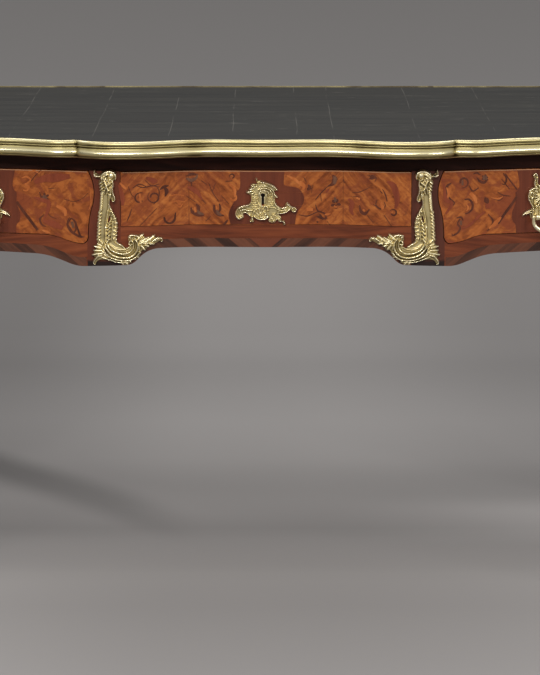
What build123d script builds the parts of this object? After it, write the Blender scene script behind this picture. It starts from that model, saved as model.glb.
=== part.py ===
"""Flat writing table with three frieze drawers, serpentine on every side but the back edge of its top.

Millimetres. X runs to the sitter's right, -Y is the front, +Z is up.
The origin is on the floor under the middle of the table.
"""
from build123d import *
import os

# ---------------------------------------------------------------- overall
top_length = 1600
top_depth = 800
desk_height = 780

# ---------------------------------------------------------------- top
rim_height = 26            # gilt-bronze edge moulding
# its profile as (height above its foot, depth behind the foremost line): ogee, torus, cove, bead
rim_profile = [(0, 5), (4, 1.5), (7, 0), (10, 1.5), (11.5, 5), (17, 4.5), (19.5, 2.5), (23, 1.5), (26, 5)]
rim_depth = 10             # its body, in front of the board's edge
lip_width = 8              # its flat lip, lapped over the board
lip_thickness = 3
bead_rise = 1.5            # top bead above the leather
leather_thickness = 1.5
board_thickness = 25
corner_radius = 46         # plan radius of the four corners
cusp_x = 297               # where the middle of the front meets its wings
cusp_notch = 3             # slight nick in the moulding at the cusp
notch_fade = 0.55          # how quickly the nick dies away inwards
end_hollow = 18            # the ends are hollow by this much at their middle
end_hollow_share = 0.45    # and a little more at this share of the way to the corner

# the front edge, as (distance from the middle, distance behind the foremost line)
top_middle = [(0, 26), (100, 29), (140, 20), (165, 11), (190, 3), (215, 0), (240, 0.5), (266, 6), (283, 14)]
cusp_setback = 23
# the wings, as (share of the way from cusp to corner, distance behind the foremost line)
top_wing = [(0.05, 22), (0.1, 26.5), (0.155, 36.5), (0.21, 46), (0.265, 53), (0.42, 64), (0.6, 62), (0.75, 45),
            (0.88, 17)]

# ---------------------------------------------------------------- frieze
frieze_setback = 62        # middle of the frieze behind the top's foremost line
front_thickness = 22       # carcass members at the front
drawer_top_drop = 53       # top of the drawers below the top of the table
post_inset_x = 136         # end of the table to the inner face of a leg post
post_inset_y = 116         # front of the table to the inner face of a leg post
corner_inset_x = 43        # end of the table to the corner of a post
corner_inset_y = 33        # front of the table to the corner of a post
post_corner = 22           # rounding of that corner
centre_drawer_width = 458
centre_drawer_height = 86
stile_width = 43
side_drawer_height = 102
side_corner_drop = 13      # lower corners of the side drawers hang this much lower
side_bow = 10              # their ends bow in by up to this much
drawer_gap = 1.2           # visible gap round a side drawer
centre_gap = 0.7           # tighter gap round the centre drawer
rail_recess = 3            # top rail behind the drawer fronts
rail_thickness = 32
post_shoulder = -3         # frieze at the posts, forward of its middle
end_face_inset = 62        # end of the table to the outer face of an end panel
end_sway = 8               # serpentine of the end panels
glue_line = 0.3            # between curved faces that are glued or pinned together
edge_line = 0.6            # between the moulding and the edge of the board

# the frieze in plan, as (distance from the middle, distance forward of its middle)
frieze_middle = [(0, 0), (133, 0), (170, 8.5), (215, 15), (258, 11)]
# and beyond the stile, as (share of the way to the post, distance forward of its middle)
frieze_wing = [(0.066, 3), (0.15, -6), (0.24, -11.5), (0.33, -18.5), (0.55, -27), (0.8, -18)]

# corners of the apron's lower edge, as (distance beyond the side drawer's edge, depth below the
# drawer top, rounding); it mirrors about the middle of the side drawer
apron_corners = [(-86, 122, 45), (-60, 148, 25), (28, 152, 60), (78, 134, 120)]
apron_crown = (131, 900)   # depth at the middle of a side drawer, and its rounding
apron_low = 151            # deepest point, where the legs begin
# lower edge of the end panels, as (distance in from a post, depth below the drawer top)
end_edge = [(0, 151), (60, 127), (194, 126)]
end_drop = 138             # its depth at the middle of the end

# ---------------------------------------------------------------- legs
foot_floor = 8             # wood stops here, on the floor of the sabot
sabot_height = 96
sabot_wall = 4
# the leg below the post, as (place, outward lean, half width)
knee_stations = [(71, 7, 33), (166, 4, 26), (286, -3, 20.5)]                     # by depth below the leg's top
ankle_stations = [(170, -7, 17.5), (95, -3, 18), (40, 5, 20), (0, 11, 22.5)]    # by height
leg_shoulder = 0.35        # where the outer faces start, as a share of the half width
leg_round = 0.8            # rounding of the outer arris, as a share of the half width
mount_wall = 6             # thickness of the corner mounts
corner_mount_drop = 58     # its top below the top of the table
corner_mount_length = 270
corner_mount_width = 84
corner_mount_lap = 42      # how far round the post it reaches, along the diagonal
# half its outline, as (share of half its width, depth below its top)
corner_mount_edge = [(0, 0), (0.45, 6), (0.8, 30), (0.62, 62), (0.7, 92), (0.4, 125), (0.3, 190)]

# ---------------------------------------------------------------- inside
partition_thickness = 18
partition_offset = 9       # partition beyond the centre drawer's edge
partition_lift = 22        # its foot above the lowest point of the frieze
back_thickness = 22
pocket_depth = 4           # false fronts let into the back panel
runner_thickness = 14
runner_bearing = 12        # width of runner under a drawer side
guide_height = 20
kicker_thickness = 6
far_front = 100            # a cutter that clears all in front of the frieze is this thick
over_run = 20              # straight pieces reach this far into the curve before they are cut to it
slide_gap = 0.3            # between a drawer and what it runs on
side_play = 0.6            # between a drawer side and its guide
block_size = 20            # glue blocks
block_length = 90
screw_radius = 2.5
screw_head_radius = 4.5
screw_head_height = 3
screw_length = 36
screw_fit = 0.05
screw_sink = 1             # heads sunk into the rail
screw_edge = 60            # outermost screws, from the posts
screw_share = 0.7          # inner screws, as a share of half the centre drawer

# ---------------------------------------------------------------- drawers
drawer_front_thickness = 20
lining_thickness = 11
bottom_thickness = 7
bottom_rise = 5            # bottom board above the lower edge of the sides
groove_depth = 5
groove_play = 0.2
drawer_back_gap = 60       # from the back of a drawer to the back panel
lining_inset = 8           # drawer sides inside the ends of the front
lining_drop = 7            # top of the linings below the top of the front
lining_lift = 6            # foot of the linings above the foot of the front

lock_width = 64
lock_height = 60
lock_thickness = 14
lock_let_in = 8            # how deep the lock is let into the back of the front
lock_play = 0.4
bolt_width = 26
bolt_thickness = 8
bolt_length = 22
bolt_play = 0.3
bolt_throw = 8
bolt_top_gap = 0.6         # retracted bolt below the top of the front
mortise_play = 1

keyhole_x = -5             # the centre keyhole is a little off the middle
keyhole_drop = 45          # middle of a keyhole below the drawer top
keyhole_radius = 3.4
keyhole_slot = 4.6
keyhole_length = 19
key_depth = 5              # keyhole into the lock case

# ---------------------------------------------------------------- mounts
relief = 9                 # thickness of the mounts on the frieze
pin_radius = 1.2
pin_length = 18
pin_fit = 0.05
pin_sink = 2               # heads below the face of the mounts
# right kneehole mount: (beyond the centre drawer's edge, above the drawer top)
kneehole_outline = [(41, 3), (36, -3), (32, 1), (22, 3), (11, 1), (6, -6), (11, -20), (9, -34), (8, -47),
                    (16, -49), (17, -58), (12, -70), (5, -80), (6, -100), (1, -116), (-8, -118),
                    (-13, -112),
                    (-12, -104), (-19, -100), (-30, -103), (-42, -98), (-55, -99), (-65, -107), (-64, -115),
                    (-55, -113), (-44, -120), (-34, -125), (-25, -136), (-12, -141), (5, -144), (28, -141),
                    (39, -141), (42, -151), (46, -146), (44, -136), (48, -130), (43, -120), (40, -108),
                    (40, -93), (37, -71), (34, -55), (35, -34), (35, -12), (43, -3)]
kneehole_pins = [(24, -10), (24, -88), (36, -132), (-46, -108)]
# centre escutcheon, about the middle of its keyhole
escutcheon_outline = [(-11, 33), (-6, 26), (8, 25), (22, 15), (17, 8), (22, 2), (27, -9), (40, -7),
                      (56, -17), (46, -24), (30, -22), (23, -28), (34, -41), (19, -37), (-1, -34),
                      (-14, -34),
                      (-18, -39), (-25, -26), (-34, -32), (-43, -22), (-39, -11), (-25, -8), (-20, 1),
                      (-27, 10), (-17, 17)]
escutcheon_pins = [(14, 13), (38, -15), (-34, -22)]
# one half of a side handle plate, about the middle of its keyhole
plate_outline = [(0, 31), (12, 26), (24, 18), (30, 20), (33, 37), (44, 37), (41, 20), (52, 13), (53, -16),
                 (61, -29), (54, -36), (42, -31), (34, -22), (20, -18), (10, -24), (0, -22)]
plate_pins = [(44, 0)]
ear_x = 37                 # ears of the handle, either side of the keyhole
ear_drop = 30              # pivot below the middle of the keyhole
ear_width = 6
ear_radius = 5
bail_reach = 17            # pivot in front of the drawer
bail_radius = 3.2
pivot_radius = 2
pivot_fit = 0.08
pivot_play = 0.4           # between an ear and the bail beside it
pivot_stub = 1.5           # pivot past the inner face of its ear
bail_drop = 28
bail_neck = 7              # straight part of the bail below each pivot

# ================================================================ derived places
half_length = top_length / 2
half_depth = top_depth / 2
leather_top = desk_height - bead_rise
board_top = leather_top - leather_thickness
board_bottom = board_top - board_thickness
rim_bottom = desk_height - rim_height
lip_bottom = leather_top - lip_thickness
drawer_top = desk_height - drawer_top_drop
corner_mount_top = desk_height - corner_mount_drop
corner_mount_foot = corner_mount_top - corner_mount_length
rail_bottom = drawer_top + drawer_gap
half_centre = centre_drawer_width / 2
side_edge = half_centre + stile_width
post_x = half_length - post_inset_x
post_y = half_depth - post_inset_y
side_centre = (side_edge + post_x) / 2
frieze_y = half_depth - frieze_setback
leg_top = drawer_top - apron_low
centre_bottom = drawer_top - centre_drawer_height
side_bottom = drawer_top - side_drawer_height
end_face = half_length - end_face_inset
joint_x = half_centre + centre_gap          # stile against centre apron
apron_joint = side_edge + side_bow + 1      # stile against side apron
partition_inner = half_centre + partition_offset
partition_outer = partition_inner + partition_thickness


below = 20                 # blanks start this far under the finished edge

upright = (Align.CENTER, Align.CENTER, Align.MIN)
under = (Align.CENTER, Align.CENTER, Align.MAX)


def save(name, *solids):
    """Write one node; a node of several solids is a group."""
    shapes = [solid for item in solids for solid in item.solids()]
    whole = shapes[0] if len(shapes) == 1 else Compound(children=shapes)
    whole.label = name
    export_step(whole, f"parts/{name}.step")


def box(x0, x1, y0, y1, z0, z1):
    """A block given by its faces."""
    size = Box(x1 - x0, y1 - y0, z1 - z0, align=(Align.MIN, Align.MIN, Align.MIN))
    return Pos(x0, y0, z0) * size


def mirrored(points):
    """Points of a symmetric curve from those of its right half, which starts at x = 0."""
    return [(-x, y) for x, y in reversed(points) if x > 0] + list(points)


def rise(face, z0, z1):
    """A flat face in plan, extruded between two heights."""
    return Pos(0, 0, z0) * extrude(face, amount=z1 - z0, dir=(0, 0, 1))


def flip_x(shape):
    return mirror(shape, about=Plane.YZ)


def flip_y(shape):
    return mirror(shape, about=Plane.XZ)


# ================================================================ plan of the top
def top_quarter(inset):
    """Front middle curve, then the right wing, corner and half end, drawn in by inset."""
    nick = max(0, cusp_notch - inset * notch_fade)
    cusp = (cusp_x, cusp_setback + nick - half_depth + inset)
    middle = [(x, setback - half_depth + inset) for x, setback in top_middle] + [cusp]
    wing_end = half_length - corner_radius
    wing = [cusp]
    for share, setback in top_wing:
        wing.append((cusp_x + share * (wing_end - cusp_x), setback - half_depth + inset))
    corner_start = (wing_end, inset - half_depth)
    corner_end = (half_length - inset, corner_radius - half_depth)
    wing.append(corner_start)
    side_middle = (half_length - end_hollow - inset, 0)
    hollow = (half_length - end_hollow * 1.2 - inset, -half_depth * end_hollow_share)
    side_points = [corner_end, hollow, side_middle]
    return (
        Spline(*mirrored(middle)),
        Spline(*wing, tangents=[(1, 0.05), (1, 0)], tangent_scalars=[1, 1]),
        RadiusArc(corner_start, corner_end, -(corner_radius - inset)),
        Spline(*side_points, tangents=[(0, 1), (0, 1)], tangent_scalars=[1, 1]),
    )


def top_plan(inset):
    """The whole outline of the top as a face. The back edge is straight."""
    middle, wing, corner, side = top_quarter(inset)
    right = [wing, corner, side, flip_y(side), flip_y(corner)]
    back_end, back = half_length - corner_radius, half_depth - inset
    back_edge = Line((-back_end, back), (back_end, back))
    edges = right + [flip_x(edge) for edge in right] + [middle, back_edge]
    return make_face([edge for item in edges for edge in item.edges()])


def top_slab(inset, z0, z1):
    return rise(top_plan(inset), z0, z1)


def build_top():
    lip_inset = rim_depth + lip_width
    board = top_slab(rim_depth + edge_line, board_bottom, lip_bottom)
    board += top_slab(lip_inset + edge_line, lip_bottom, board_top)
    leather = top_slab(lip_inset + edge_line, board_top, leather_top)
    stretch = rim_height / rim_profile[-1][0]
    levels = [(rim_bottom + rise_up * stretch, inset) for rise_up, inset in rim_profile]
    moulding = loft([Pos(0, 0, z) * top_plan(inset) for z, inset in levels], ruled=True)
    moulding -= top_slab(rim_depth, rim_bottom - 1, lip_bottom)
    moulding -= top_slab(rim_depth + 1, leather_top, desk_height + 1)
    moulding -= top_slab(lip_inset, lip_bottom - 1, desk_height + 1)
    return board, leather, moulding


def rim_pieces(moulding):
    """The moulding in six cast lengths, jointed at the cusps and half way along each end."""
    far = top_length
    front = moulding & box(-cusp_x, cusp_x, -far, 0, 0, far)
    front_right = moulding & box(cusp_x, far, -far, 0, 0, far)
    back = moulding & box(-cusp_x, cusp_x, 0, far, 0, far)
    back_right = moulding & box(cusp_x, far, 0, far, 0, far)
    return {
        "rim_front": front,
        "rim_back": back,
        "rim_front_right": front_right,
        "rim_front_left": flip_x(front_right),
        "rim_back_right": back_right,
        "rim_back_left": flip_x(back_right),
    }


# ================================================================ plan of the frieze
def frieze_points(depth):
    """Front of the frieze in plan, moved back by depth."""
    points = list(frieze_middle)
    for share, forward in frieze_wing:
        points.append((side_edge + share * (post_x - side_edge), forward))
    points.append((post_x, post_shoulder))
    return [(x, depth - frieze_y - forward) for x, forward in mirrored(points)]


def strip(near_points, far_points):
    """The flat face between two smooth curves that run the same way."""
    near = Spline(*near_points)
    far = Spline(*far_points)
    ends = [Line(near @ 1, far @ 1), Line(far @ 0, near @ 0)]
    return make_face([near.edge(), ends[0].edge(), far.edge(), ends[1].edge()])


def front_band(near, far, z0, z1):
    """The serpentine front from near to far behind its face, between two heights."""
    return rise(strip(frieze_points(near), frieze_points(far)), z0, z1)


def front_at(x):
    """Y of the frieze's face at x."""
    curve = Spline(*frieze_points(0))
    cut = Line((x, -top_depth), (x, 0))
    return curve.edge().intersect(cut.edge()).vertices()[0].Y


def elevation(face):
    """A prism through the front of the table from an outline in X and Z."""
    return extrude(Plane.XZ * face, amount=top_depth, dir=(0, -1, 0))


def outline(points, x0=0, z0=0):
    return Pos(x0, z0) * make_face(Polyline(*points, close=True).edges())


# ================================================================ openings and fronts
def side_drawer_outline(grow):
    """A side drawer front; grow widens it all round."""
    edge = side_edge - grow
    top = drawer_top + grow
    foot = side_bottom - grow
    tip = foot - side_corner_drop
    notch = drawer_top - 58
    top_corner = (edge + side_bow - 1, top)
    low_corner = (edge + side_bow, foot - 2)
    upper = ThreePointArc(top_corner, (edge, drawer_top - 32), (edge + 4, notch))
    lower = ThreePointArc((edge + 4, notch), (edge + side_bow - 1.5, notch - 22), low_corner)
    corner = TangentArc(low_corner, (edge + 18 + grow, tip), tangent=(0.08, -1))
    turn = (edge + 50, foot - side_corner_drop / 2)
    dip = ThreePointArc((edge + 18 + grow, tip), (edge + 34, tip + side_corner_drop * 0.15), turn)
    swell = ThreePointArc(turn, (edge + 66, foot - side_corner_drop * 0.15), (edge + 82, foot))
    left = [upper, lower, corner, dip, swell]
    middle = (side_centre, foot)
    base = Line((edge + 82, foot), middle)
    head = Line(top_corner, (side_centre, top))
    half = left + [base, head]
    other = [mirror(item, about=Plane.YZ.offset(side_centre)) for item in half]
    return make_face([item_edge for item in half + other for item_edge in item.edges()])


def centre_drawer_outline(grow):
    height = centre_drawer_height + 2 * grow
    width = centre_drawer_width + 2 * grow
    return Pos(0, drawer_top + grow) * Rectangle(width, height, align=(Align.CENTER, Align.MAX))


def below_apron():
    """Everything below the shaped lower edge of the frieze, post to post."""
    crown_depth, crown_round = apron_crown
    rise_in = [(side_edge + dx, drawer_top - depth, rounding) for dx, depth, rounding in apron_corners]
    crown = (side_centre, drawer_top - crown_depth, crown_round)
    fall_out = [(2 * side_centre - x, z, rounding) for x, z, rounding in reversed(rise_in[2:])]
    right = rise_in + [crown] + fall_out
    left = [(-x, z, rounding) for x, z, rounding in reversed(right)]
    corners = left + right
    beyond = post_x + post_inset_x / 2
    ends = [(-beyond, leg_top), (beyond, leg_top)]
    points = [ends[0]] + [(x, z) for x, z, _ in corners] + [ends[1]]
    curve = FilletPolyline(*points, radius=[rounding for _, _, rounding in corners])
    deep = leg_top - side_drawer_height
    rest = Polyline(ends[1], (beyond, deep), (-beyond, deep), ends[0])
    return elevation(make_face(curve.edges() + rest.edges()))


def keyhole(x, z):
    """Keyhole outline as a prism, round at the top with a slot below."""
    top = z + keyhole_length / 2 - keyhole_radius
    eye = Pos(x, top) * Circle(keyhole_radius)
    slot_length = keyhole_length - keyhole_radius
    slot = Pos(x, top) * Rectangle(keyhole_slot, slot_length, align=(Align.CENTER, Align.MAX))
    return elevation(eye + slot)


def key_place(drawer):
    """X and Z of the middle of a drawer's keyhole."""
    x = keyhole_x if drawer == "centre" else side_centre
    return x, drawer_top - keyhole_drop


# ================================================================ carcass
def build_front_frame():
    frame = front_band(0, front_thickness, leg_top - below, rail_bottom) - below_apron()
    frame -= elevation(centre_drawer_outline(centre_gap))
    opening = elevation(side_drawer_outline(drawer_gap))
    frame -= opening
    frame -= flip_x(opening)
    deep = top_depth
    far = top_length
    stile = frame & box(joint_x, apron_joint, -deep, 0, 0, far)
    apron_centre = frame & box(-joint_x, joint_x, -deep, 0, 0, centre_bottom)
    apron_side = frame & box(apron_joint, post_x, -deep, 0, 0, side_bottom + 20)
    stile -= kneehole_holes()
    apron_centre -= kneehole_holes()
    apron_centre -= flip_x(kneehole_holes())
    return stile, apron_centre, apron_side


def bolt_pocket(drawer):
    """Space that a raised bolt needs in the top rail."""
    x, _ = key_place(drawer)
    y = lock_back(drawer) - lock_thickness / 2
    half_w = bolt_width / 2 + mortise_play
    half_t = bolt_thickness / 2 + mortise_play
    top = drawer_top + bolt_throw + mortise_play
    return box(x - half_w, x + half_w, y - half_t, y + half_t, drawer_top, top)


def build_top_rail():
    rail = front_band(rail_recess, rail_recess + rail_thickness, rail_bottom, board_bottom)
    for pocket in (bolt_pocket("centre"), bolt_pocket("side"), flip_x(bolt_pocket("side"))):
        rail -= pocket
    return rail - screw_holes()


def screw_places():
    """Screws that hold the top: in the rail at the front, in blocks at the back."""
    places = []
    for x in (half_centre * screw_share, post_x - screw_edge):
        front = front_at(x) + rail_recess + rail_thickness / 2
        back = -front_at(x) - back_thickness - block_size / 2
        places += [(side * x, y) for y in (front, back) for side in (-1, 1)]
    return places


def one_screw(fit):
    """A countersunk screw with its head down, its foot at z = 0."""
    head = Cylinder(screw_head_radius + fit, screw_head_height, align=upright)
    shank = Cylinder(screw_radius + fit, screw_length, align=upright)
    return head + shank


def screw_group(fit):
    return [Pos(x, y, rail_bottom + screw_sink) * one_screw(fit) for x, y in screw_places()]


def screw_holes():
    """The screws with their clearance, open below so that they can be driven."""
    holes = screw_group(screw_fit)
    for x, y in screw_places():
        mouth = Cylinder(screw_head_radius + screw_fit, 2 * screw_sink, align=under)
        holes.append(Pos(x, y, rail_bottom + screw_sink) * mouth)
    return holes


def build_back():
    """Back panel with three shallow pockets, and the false fronts that lie in them."""
    panel = front_band(0, back_thickness, leg_top - below, board_bottom) - below_apron()
    skin = front_band(-1, pocket_depth, leg_top - below, board_bottom)
    inlay_band = front_band(0, pocket_depth - glue_line, leg_top - below, board_bottom)
    side_pocket = elevation(side_drawer_outline(0)) & skin
    side_front = elevation(side_drawer_outline(-drawer_gap)) & inlay_band
    centre_pocket = elevation(centre_drawer_outline(0)) & skin
    centre_front = elevation(centre_drawer_outline(-drawer_gap)) & inlay_band
    panel = panel - side_pocket - flip_x(side_pocket) - centre_pocket
    panel = panel - kneehole_holes() - flip_x(kneehole_holes())
    return flip_y(panel), [flip_y(item) for item in (centre_front, side_front, flip_x(side_front))]


def build_end_panel():
    """Right end panel between its posts, with a shaped lower edge."""
    half = [(end_face, -post_y), (end_face - end_sway, -post_y * 0.55), (end_face - 1, 0)]
    outer = half + [(x, -y) for x, y in reversed(half[:-1])]
    inner = [(x - front_thickness, y) for x, y in outer]
    panel = rise(strip(outer, inner), leg_top, board_bottom)
    side = [(post_y - back_off, drawer_top - depth) for back_off, depth in end_edge]
    shape = [(-y, z) for y, z in side] + [(0, drawer_top - end_drop)] + [(y, z) for y, z in reversed(side)]
    lower = Spline(*shape)
    upper = Polyline(lower @ 1, (post_y, board_bottom), (-post_y, board_bottom), lower @ 0)
    edge_face = make_face([lower.edge()] + list(upper.edges()))
    return panel & extrude(Plane.YZ * edge_face, amount=top_length, dir=(1, 0, 0))


# ================================================================ legs
def leg_section(z, inner, reach, front, side, rounding):
    """Closed section of the front right leg; u is outward in X, v is towards the front."""
    (ui, vi), (uo, vo) = inner, reach
    start = (ui, -front)
    turn = (uo - rounding, -vo)
    turned = (uo, -(vo - rounding))
    finish = (side, -vi)
    bow = rounding * 0.15
    front_mid = ((start[0] + turn[0]) / 2, (start[1] + turn[1]) / 2 - bow)
    side_mid = ((turned[0] + finish[0]) / 2 + bow, (turned[1] + finish[1]) / 2)
    corner = (uo - rounding * 0.29, -(vo - rounding * 0.29))
    front_arc = ThreePointArc(start, front_mid, turn)
    corner_arc = ThreePointArc(turn, corner, turned)
    side_arc = ThreePointArc(turned, side_mid, finish)
    edges = [Line((ui, -vi), start), front_arc, corner_arc, side_arc, Line(finish, (ui, -vi))]
    return Pos(0, 0, z) * make_face([edge.edge() for edge in edges])


def post_section(z, grow):
    """Section of the post that the rails butt against."""
    inner = (post_x - grow, post_y - grow)
    reach = (half_length - corner_inset_x + grow, half_depth - corner_inset_y + grow)
    front = frieze_y + post_shoulder + grow
    return leg_section(z, inner, reach, front, end_face + grow, post_corner + grow)


def cabriole_section(z, lean, half, grow):
    """Section of the cabriole part, on the post's middle line moved out by lean."""
    u = (post_x + half_length - corner_inset_x) / 2 + lean
    v = (post_y + half_depth - corner_inset_y) / 2 + lean
    size = half + grow
    shoulder = leg_shoulder * half + grow
    rounding = leg_round * half
    return leg_section(z, (u - size, v - size), (u + size, v + size), v + shoulder, u + shoulder, rounding)


def leg_body(grow):
    """Front right leg from the floor to the top, grown on every side."""
    post = rise(post_section(0, grow), leg_top, board_bottom)
    sections = [post_section(leg_top, grow)]
    sections += [cabriole_section(leg_top - drop, lean, half, grow) for drop, lean, half in knee_stations]
    sections += [cabriole_section(z, lean, half, grow) for z, lean, half in ankle_stations]
    return post + loft(sections)


def diagonal_window(points):
    """Prism along the corner's diagonal from an outline (across, height)."""
    u = half_length - corner_inset_x - corner_mount_lap
    v = half_depth - corner_inset_y - corner_mount_lap
    plane = Plane(origin=(u, -v, 0), x_dir=(1, 1, 0), z_dir=(1, -1, 0))
    return extrude(plane * outline(points), amount=2 * corner_mount_width, dir=(1, -1, 0))


def build_corner_mount():
    """Corner mount: a shell on the post's corner that tapers down the knee."""
    half = corner_mount_width / 2
    top, foot = corner_mount_top, corner_mount_foot
    right = [(half * share, top - depth) for share, depth in corner_mount_edge] + [(0, foot)]
    points = right + [(-x, z) for x, z in reversed(right[1:-1])]
    shell = leg_body(mount_wall) & diagonal_window(points)
    return shell - leg_body(glue_line)


def build_sabot():
    """Shoe on the foot, closed below."""
    shell = leg_body(sabot_wall) & box(0, top_length, -top_depth, 0, 0, sabot_height)
    foot = leg_body(glue_line) & box(0, top_length, -top_depth, 0, foot_floor, desk_height)
    return shell - foot


# ================================================================ inside
def lining_faces(drawer):
    """X of the outer faces of a drawer's two sides."""
    if drawer == "centre":
        face = half_centre - lining_inset
        return -face, face
    inner_face = side_edge + side_bow + lining_inset
    return inner_face, 2 * side_centre - inner_face


def runner_span(drawer):
    """For each side of a drawer: the wall that carries the runner, and the drawer side's face."""
    left, right = lining_faces(drawer)
    if drawer == "centre":
        return [(-partition_inner, left), (partition_inner, right)]
    return [(partition_outer, left), (post_x, right)]


def lining_foot(drawer):
    foot = centre_bottom if drawer == "centre" else side_bottom
    return foot + lining_lift


def build_runners():
    """L-shaped runners with their kickers above, for every drawer side."""
    pieces = []
    back = post_y + over_run
    front = -frieze_y - over_run
    clear = front_band(-far_front, front_thickness + glue_line, 0, desk_height)
    for drawer in ("centre", "side"):
        top = lining_foot(drawer) - slide_gap
        for wall, face in runner_span(drawer):
            away = 1 if wall > face else -1
            bearing = face - away * runner_bearing
            guide = face + away * side_play
            left, right = sorted((wall, bearing))
            runner = box(left, right, front, back, top - runner_thickness, top)
            left, right = sorted((wall, guide))
            runner += box(left, right, front, back, top, top + guide_height)
            left, right = sorted((wall, bearing))
            kicker_foot = drawer_top - lining_drop + slide_gap
            kicker = box(left, right, front, back, kicker_foot, kicker_foot + kicker_thickness)
            runner -= clear
            kicker -= clear
            pieces += [runner, kicker]
            if drawer == "side":
                pieces += [flip_x(runner), flip_x(kicker)]
    return pieces


def build_partition():
    """Right partition, from the stile to the back panel and up to the top board."""
    low = leg_top + partition_lift
    reach = frieze_y + over_run
    board = box(partition_inner, partition_outer, -reach, reach, low, board_bottom)
    board -= front_band(-far_front, front_thickness + glue_line, 0, rail_bottom)
    board -= front_band(-far_front, rail_recess + rail_thickness + glue_line, 0, desk_height)
    board -= flip_y(front_band(-far_front, back_thickness + glue_line, 0, desk_height))
    return board


def build_glue_blocks():
    """Blocks under the top: along the rail at the front, and under the screws at the back."""
    blocks = []
    low = board_bottom - block_size
    rail_back = front_band(-far_front, rail_recess + rail_thickness + glue_line, 0, desk_height)
    for x in (0, side_edge + 60, -side_edge - 60, post_x - 120, 120 - post_x):
        back = front_at(abs(x)) + rail_recess + rail_thickness + block_size
        bar = box(x - block_length / 2, x + block_length / 2, -frieze_y - over_run, back, low, board_bottom)
        blocks.append(bar - rail_back)
    panel_face = flip_y(front_band(-far_front, back_thickness + glue_line, 0, desk_height))
    holes = screw_holes()
    for x, y in screw_places():
        if y > 0:
            near, far = y - block_size / 2, frieze_y + over_run
            bar = box(x - block_length / 2, x + block_length / 2, near, far, low, board_bottom)
            blocks.append(bar - panel_face - holes)
    return blocks


# ================================================================ drawers
def lock_back(drawer):
    """Y of the back of a lock case."""
    x, _ = key_place(drawer)
    return front_at(x) + drawer_front_thickness - lock_let_in + lock_thickness


def lock_box(drawer, play):
    x, _ = key_place(drawer)
    back = lock_back(drawer)
    half = lock_width / 2 + play
    return box(x - half, x + half, back - lock_thickness, back, drawer_top - lock_height - play, drawer_top)


def bolt_box(drawer, play, extra):
    x, _ = key_place(drawer)
    middle = lock_back(drawer) - lock_thickness / 2
    half_w = bolt_width / 2 + play
    half_t = bolt_thickness / 2 + play
    top = drawer_top - bolt_top_gap
    foot = top - bolt_length - play
    return box(x - half_w, x + half_w, middle - half_t, middle + half_t, foot, top + extra)


def drawer_outline(drawer):
    return centre_drawer_outline(0) if drawer == "centre" else side_drawer_outline(0)


def build_lock(drawer, hole):
    """Lock case with a well for the bolt and a slot for the key, and the bolt itself."""
    x, _ = key_place(drawer)
    face = lock_back(drawer) - lock_thickness
    case = lock_box(drawer, 0) - bolt_box(drawer, bolt_play, bolt_top_gap + 1)
    half = lock_width / 2
    case -= hole & box(x - half, x + half, -top_depth, face + key_depth, 0, desk_height)
    return case, bolt_box(drawer, 0, 0)


def build_linings(drawer, start, back):
    """Two grooved sides and a back, and the bottom board that slides in the grooves."""
    left, right = lining_faces(drawer)
    foot = lining_foot(drawer)
    head = drawer_top - lining_drop
    bottom_foot = foot + bottom_rise
    bottom_head = bottom_foot + bottom_thickness
    deep = lining_thickness - groove_depth
    sides = []
    for outer, inward in ((left, 1), (right, -1)):
        x0, x1 = sorted((outer, outer + inward * lining_thickness))
        groove = sorted((outer + inward * deep, outer + inward * lining_thickness))
        side = box(x0, x1, start, back, foot, head)
        sides.append(side - box(*groove, start, back, bottom_foot, bottom_head))
    inner = (left + lining_thickness, right - lining_thickness)
    tail = box(*inner, back - lining_thickness, back, bottom_head, head)
    tongue = groove_depth - groove_play
    bottom = box(inner[0] - tongue, inner[1] + tongue, start, back, bottom_foot, bottom_head)
    return sides + [tail], bottom


def build_drawer(drawer):
    """All pieces of one drawer; the side drawer is the right one."""
    hole = keyhole(*key_place(drawer))
    front = front_band(0, drawer_front_thickness, leg_top - below, drawer_top)
    front = (front & elevation(drawer_outline(drawer))) - lock_box(drawer, lock_play) - hole
    case, bolt = build_lock(drawer, hole)
    back = -front_at(key_place(drawer)[0]) - back_thickness - drawer_back_gap
    linings, bottom = build_linings(drawer, -frieze_y - over_run, back)
    clear = front_band(-far_front, drawer_front_thickness + glue_line, 0, desk_height)
    return {
        "front": [front],
        "linings": [linings[0] - clear, linings[1] - clear, linings[2]],
        "bottom": [bottom - clear],
        "lock_case": [case],
        "lock_bolt": [bolt],
    }


# ================================================================ mounts
def pins_at(points, x0, z0, fit):
    """Short pins driven into the frieze from the front."""
    pins = []
    for dx, dz in points:
        x, z = x0 + dx, z0 + dz
        start = front_at(x) - relief + pin_sink
        rod = Cylinder(pin_radius + fit, pin_length + fit, align=upright)
        pins.append(Pos(x, start - fit, z) * Rot(-90, 0, 0) * rod)
    return pins


def kneehole_holes():
    return pins_at(kneehole_pins, half_centre, drawer_top, pin_fit)


def cast_plate(face):
    """A mount on the frieze, following its serpentine."""
    return front_band(-relief, -glue_line, leg_top - below, desk_height) & elevation(face)


def build_kneehole_mount():
    plate = cast_plate(outline(kneehole_outline, half_centre, drawer_top))
    return plate - kneehole_holes()


def build_escutcheon():
    x, z = key_place("centre")
    return cast_plate(outline(escutcheon_outline, x, z)) - keyhole(x, z)


def handle_pivot_y():
    return front_at(side_centre - ear_x) - bail_reach


def ear_rod(radius, x0, x1):
    """A rod along X on the handle's axis, between two distances from the drawer's middle."""
    _, z = key_place("side")
    rod = Cylinder(radius, x1 - x0, align=upright)
    return Pos(side_centre + x0, handle_pivot_y(), z - ear_drop) * Rot(0, 90, 0) * rod


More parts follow.
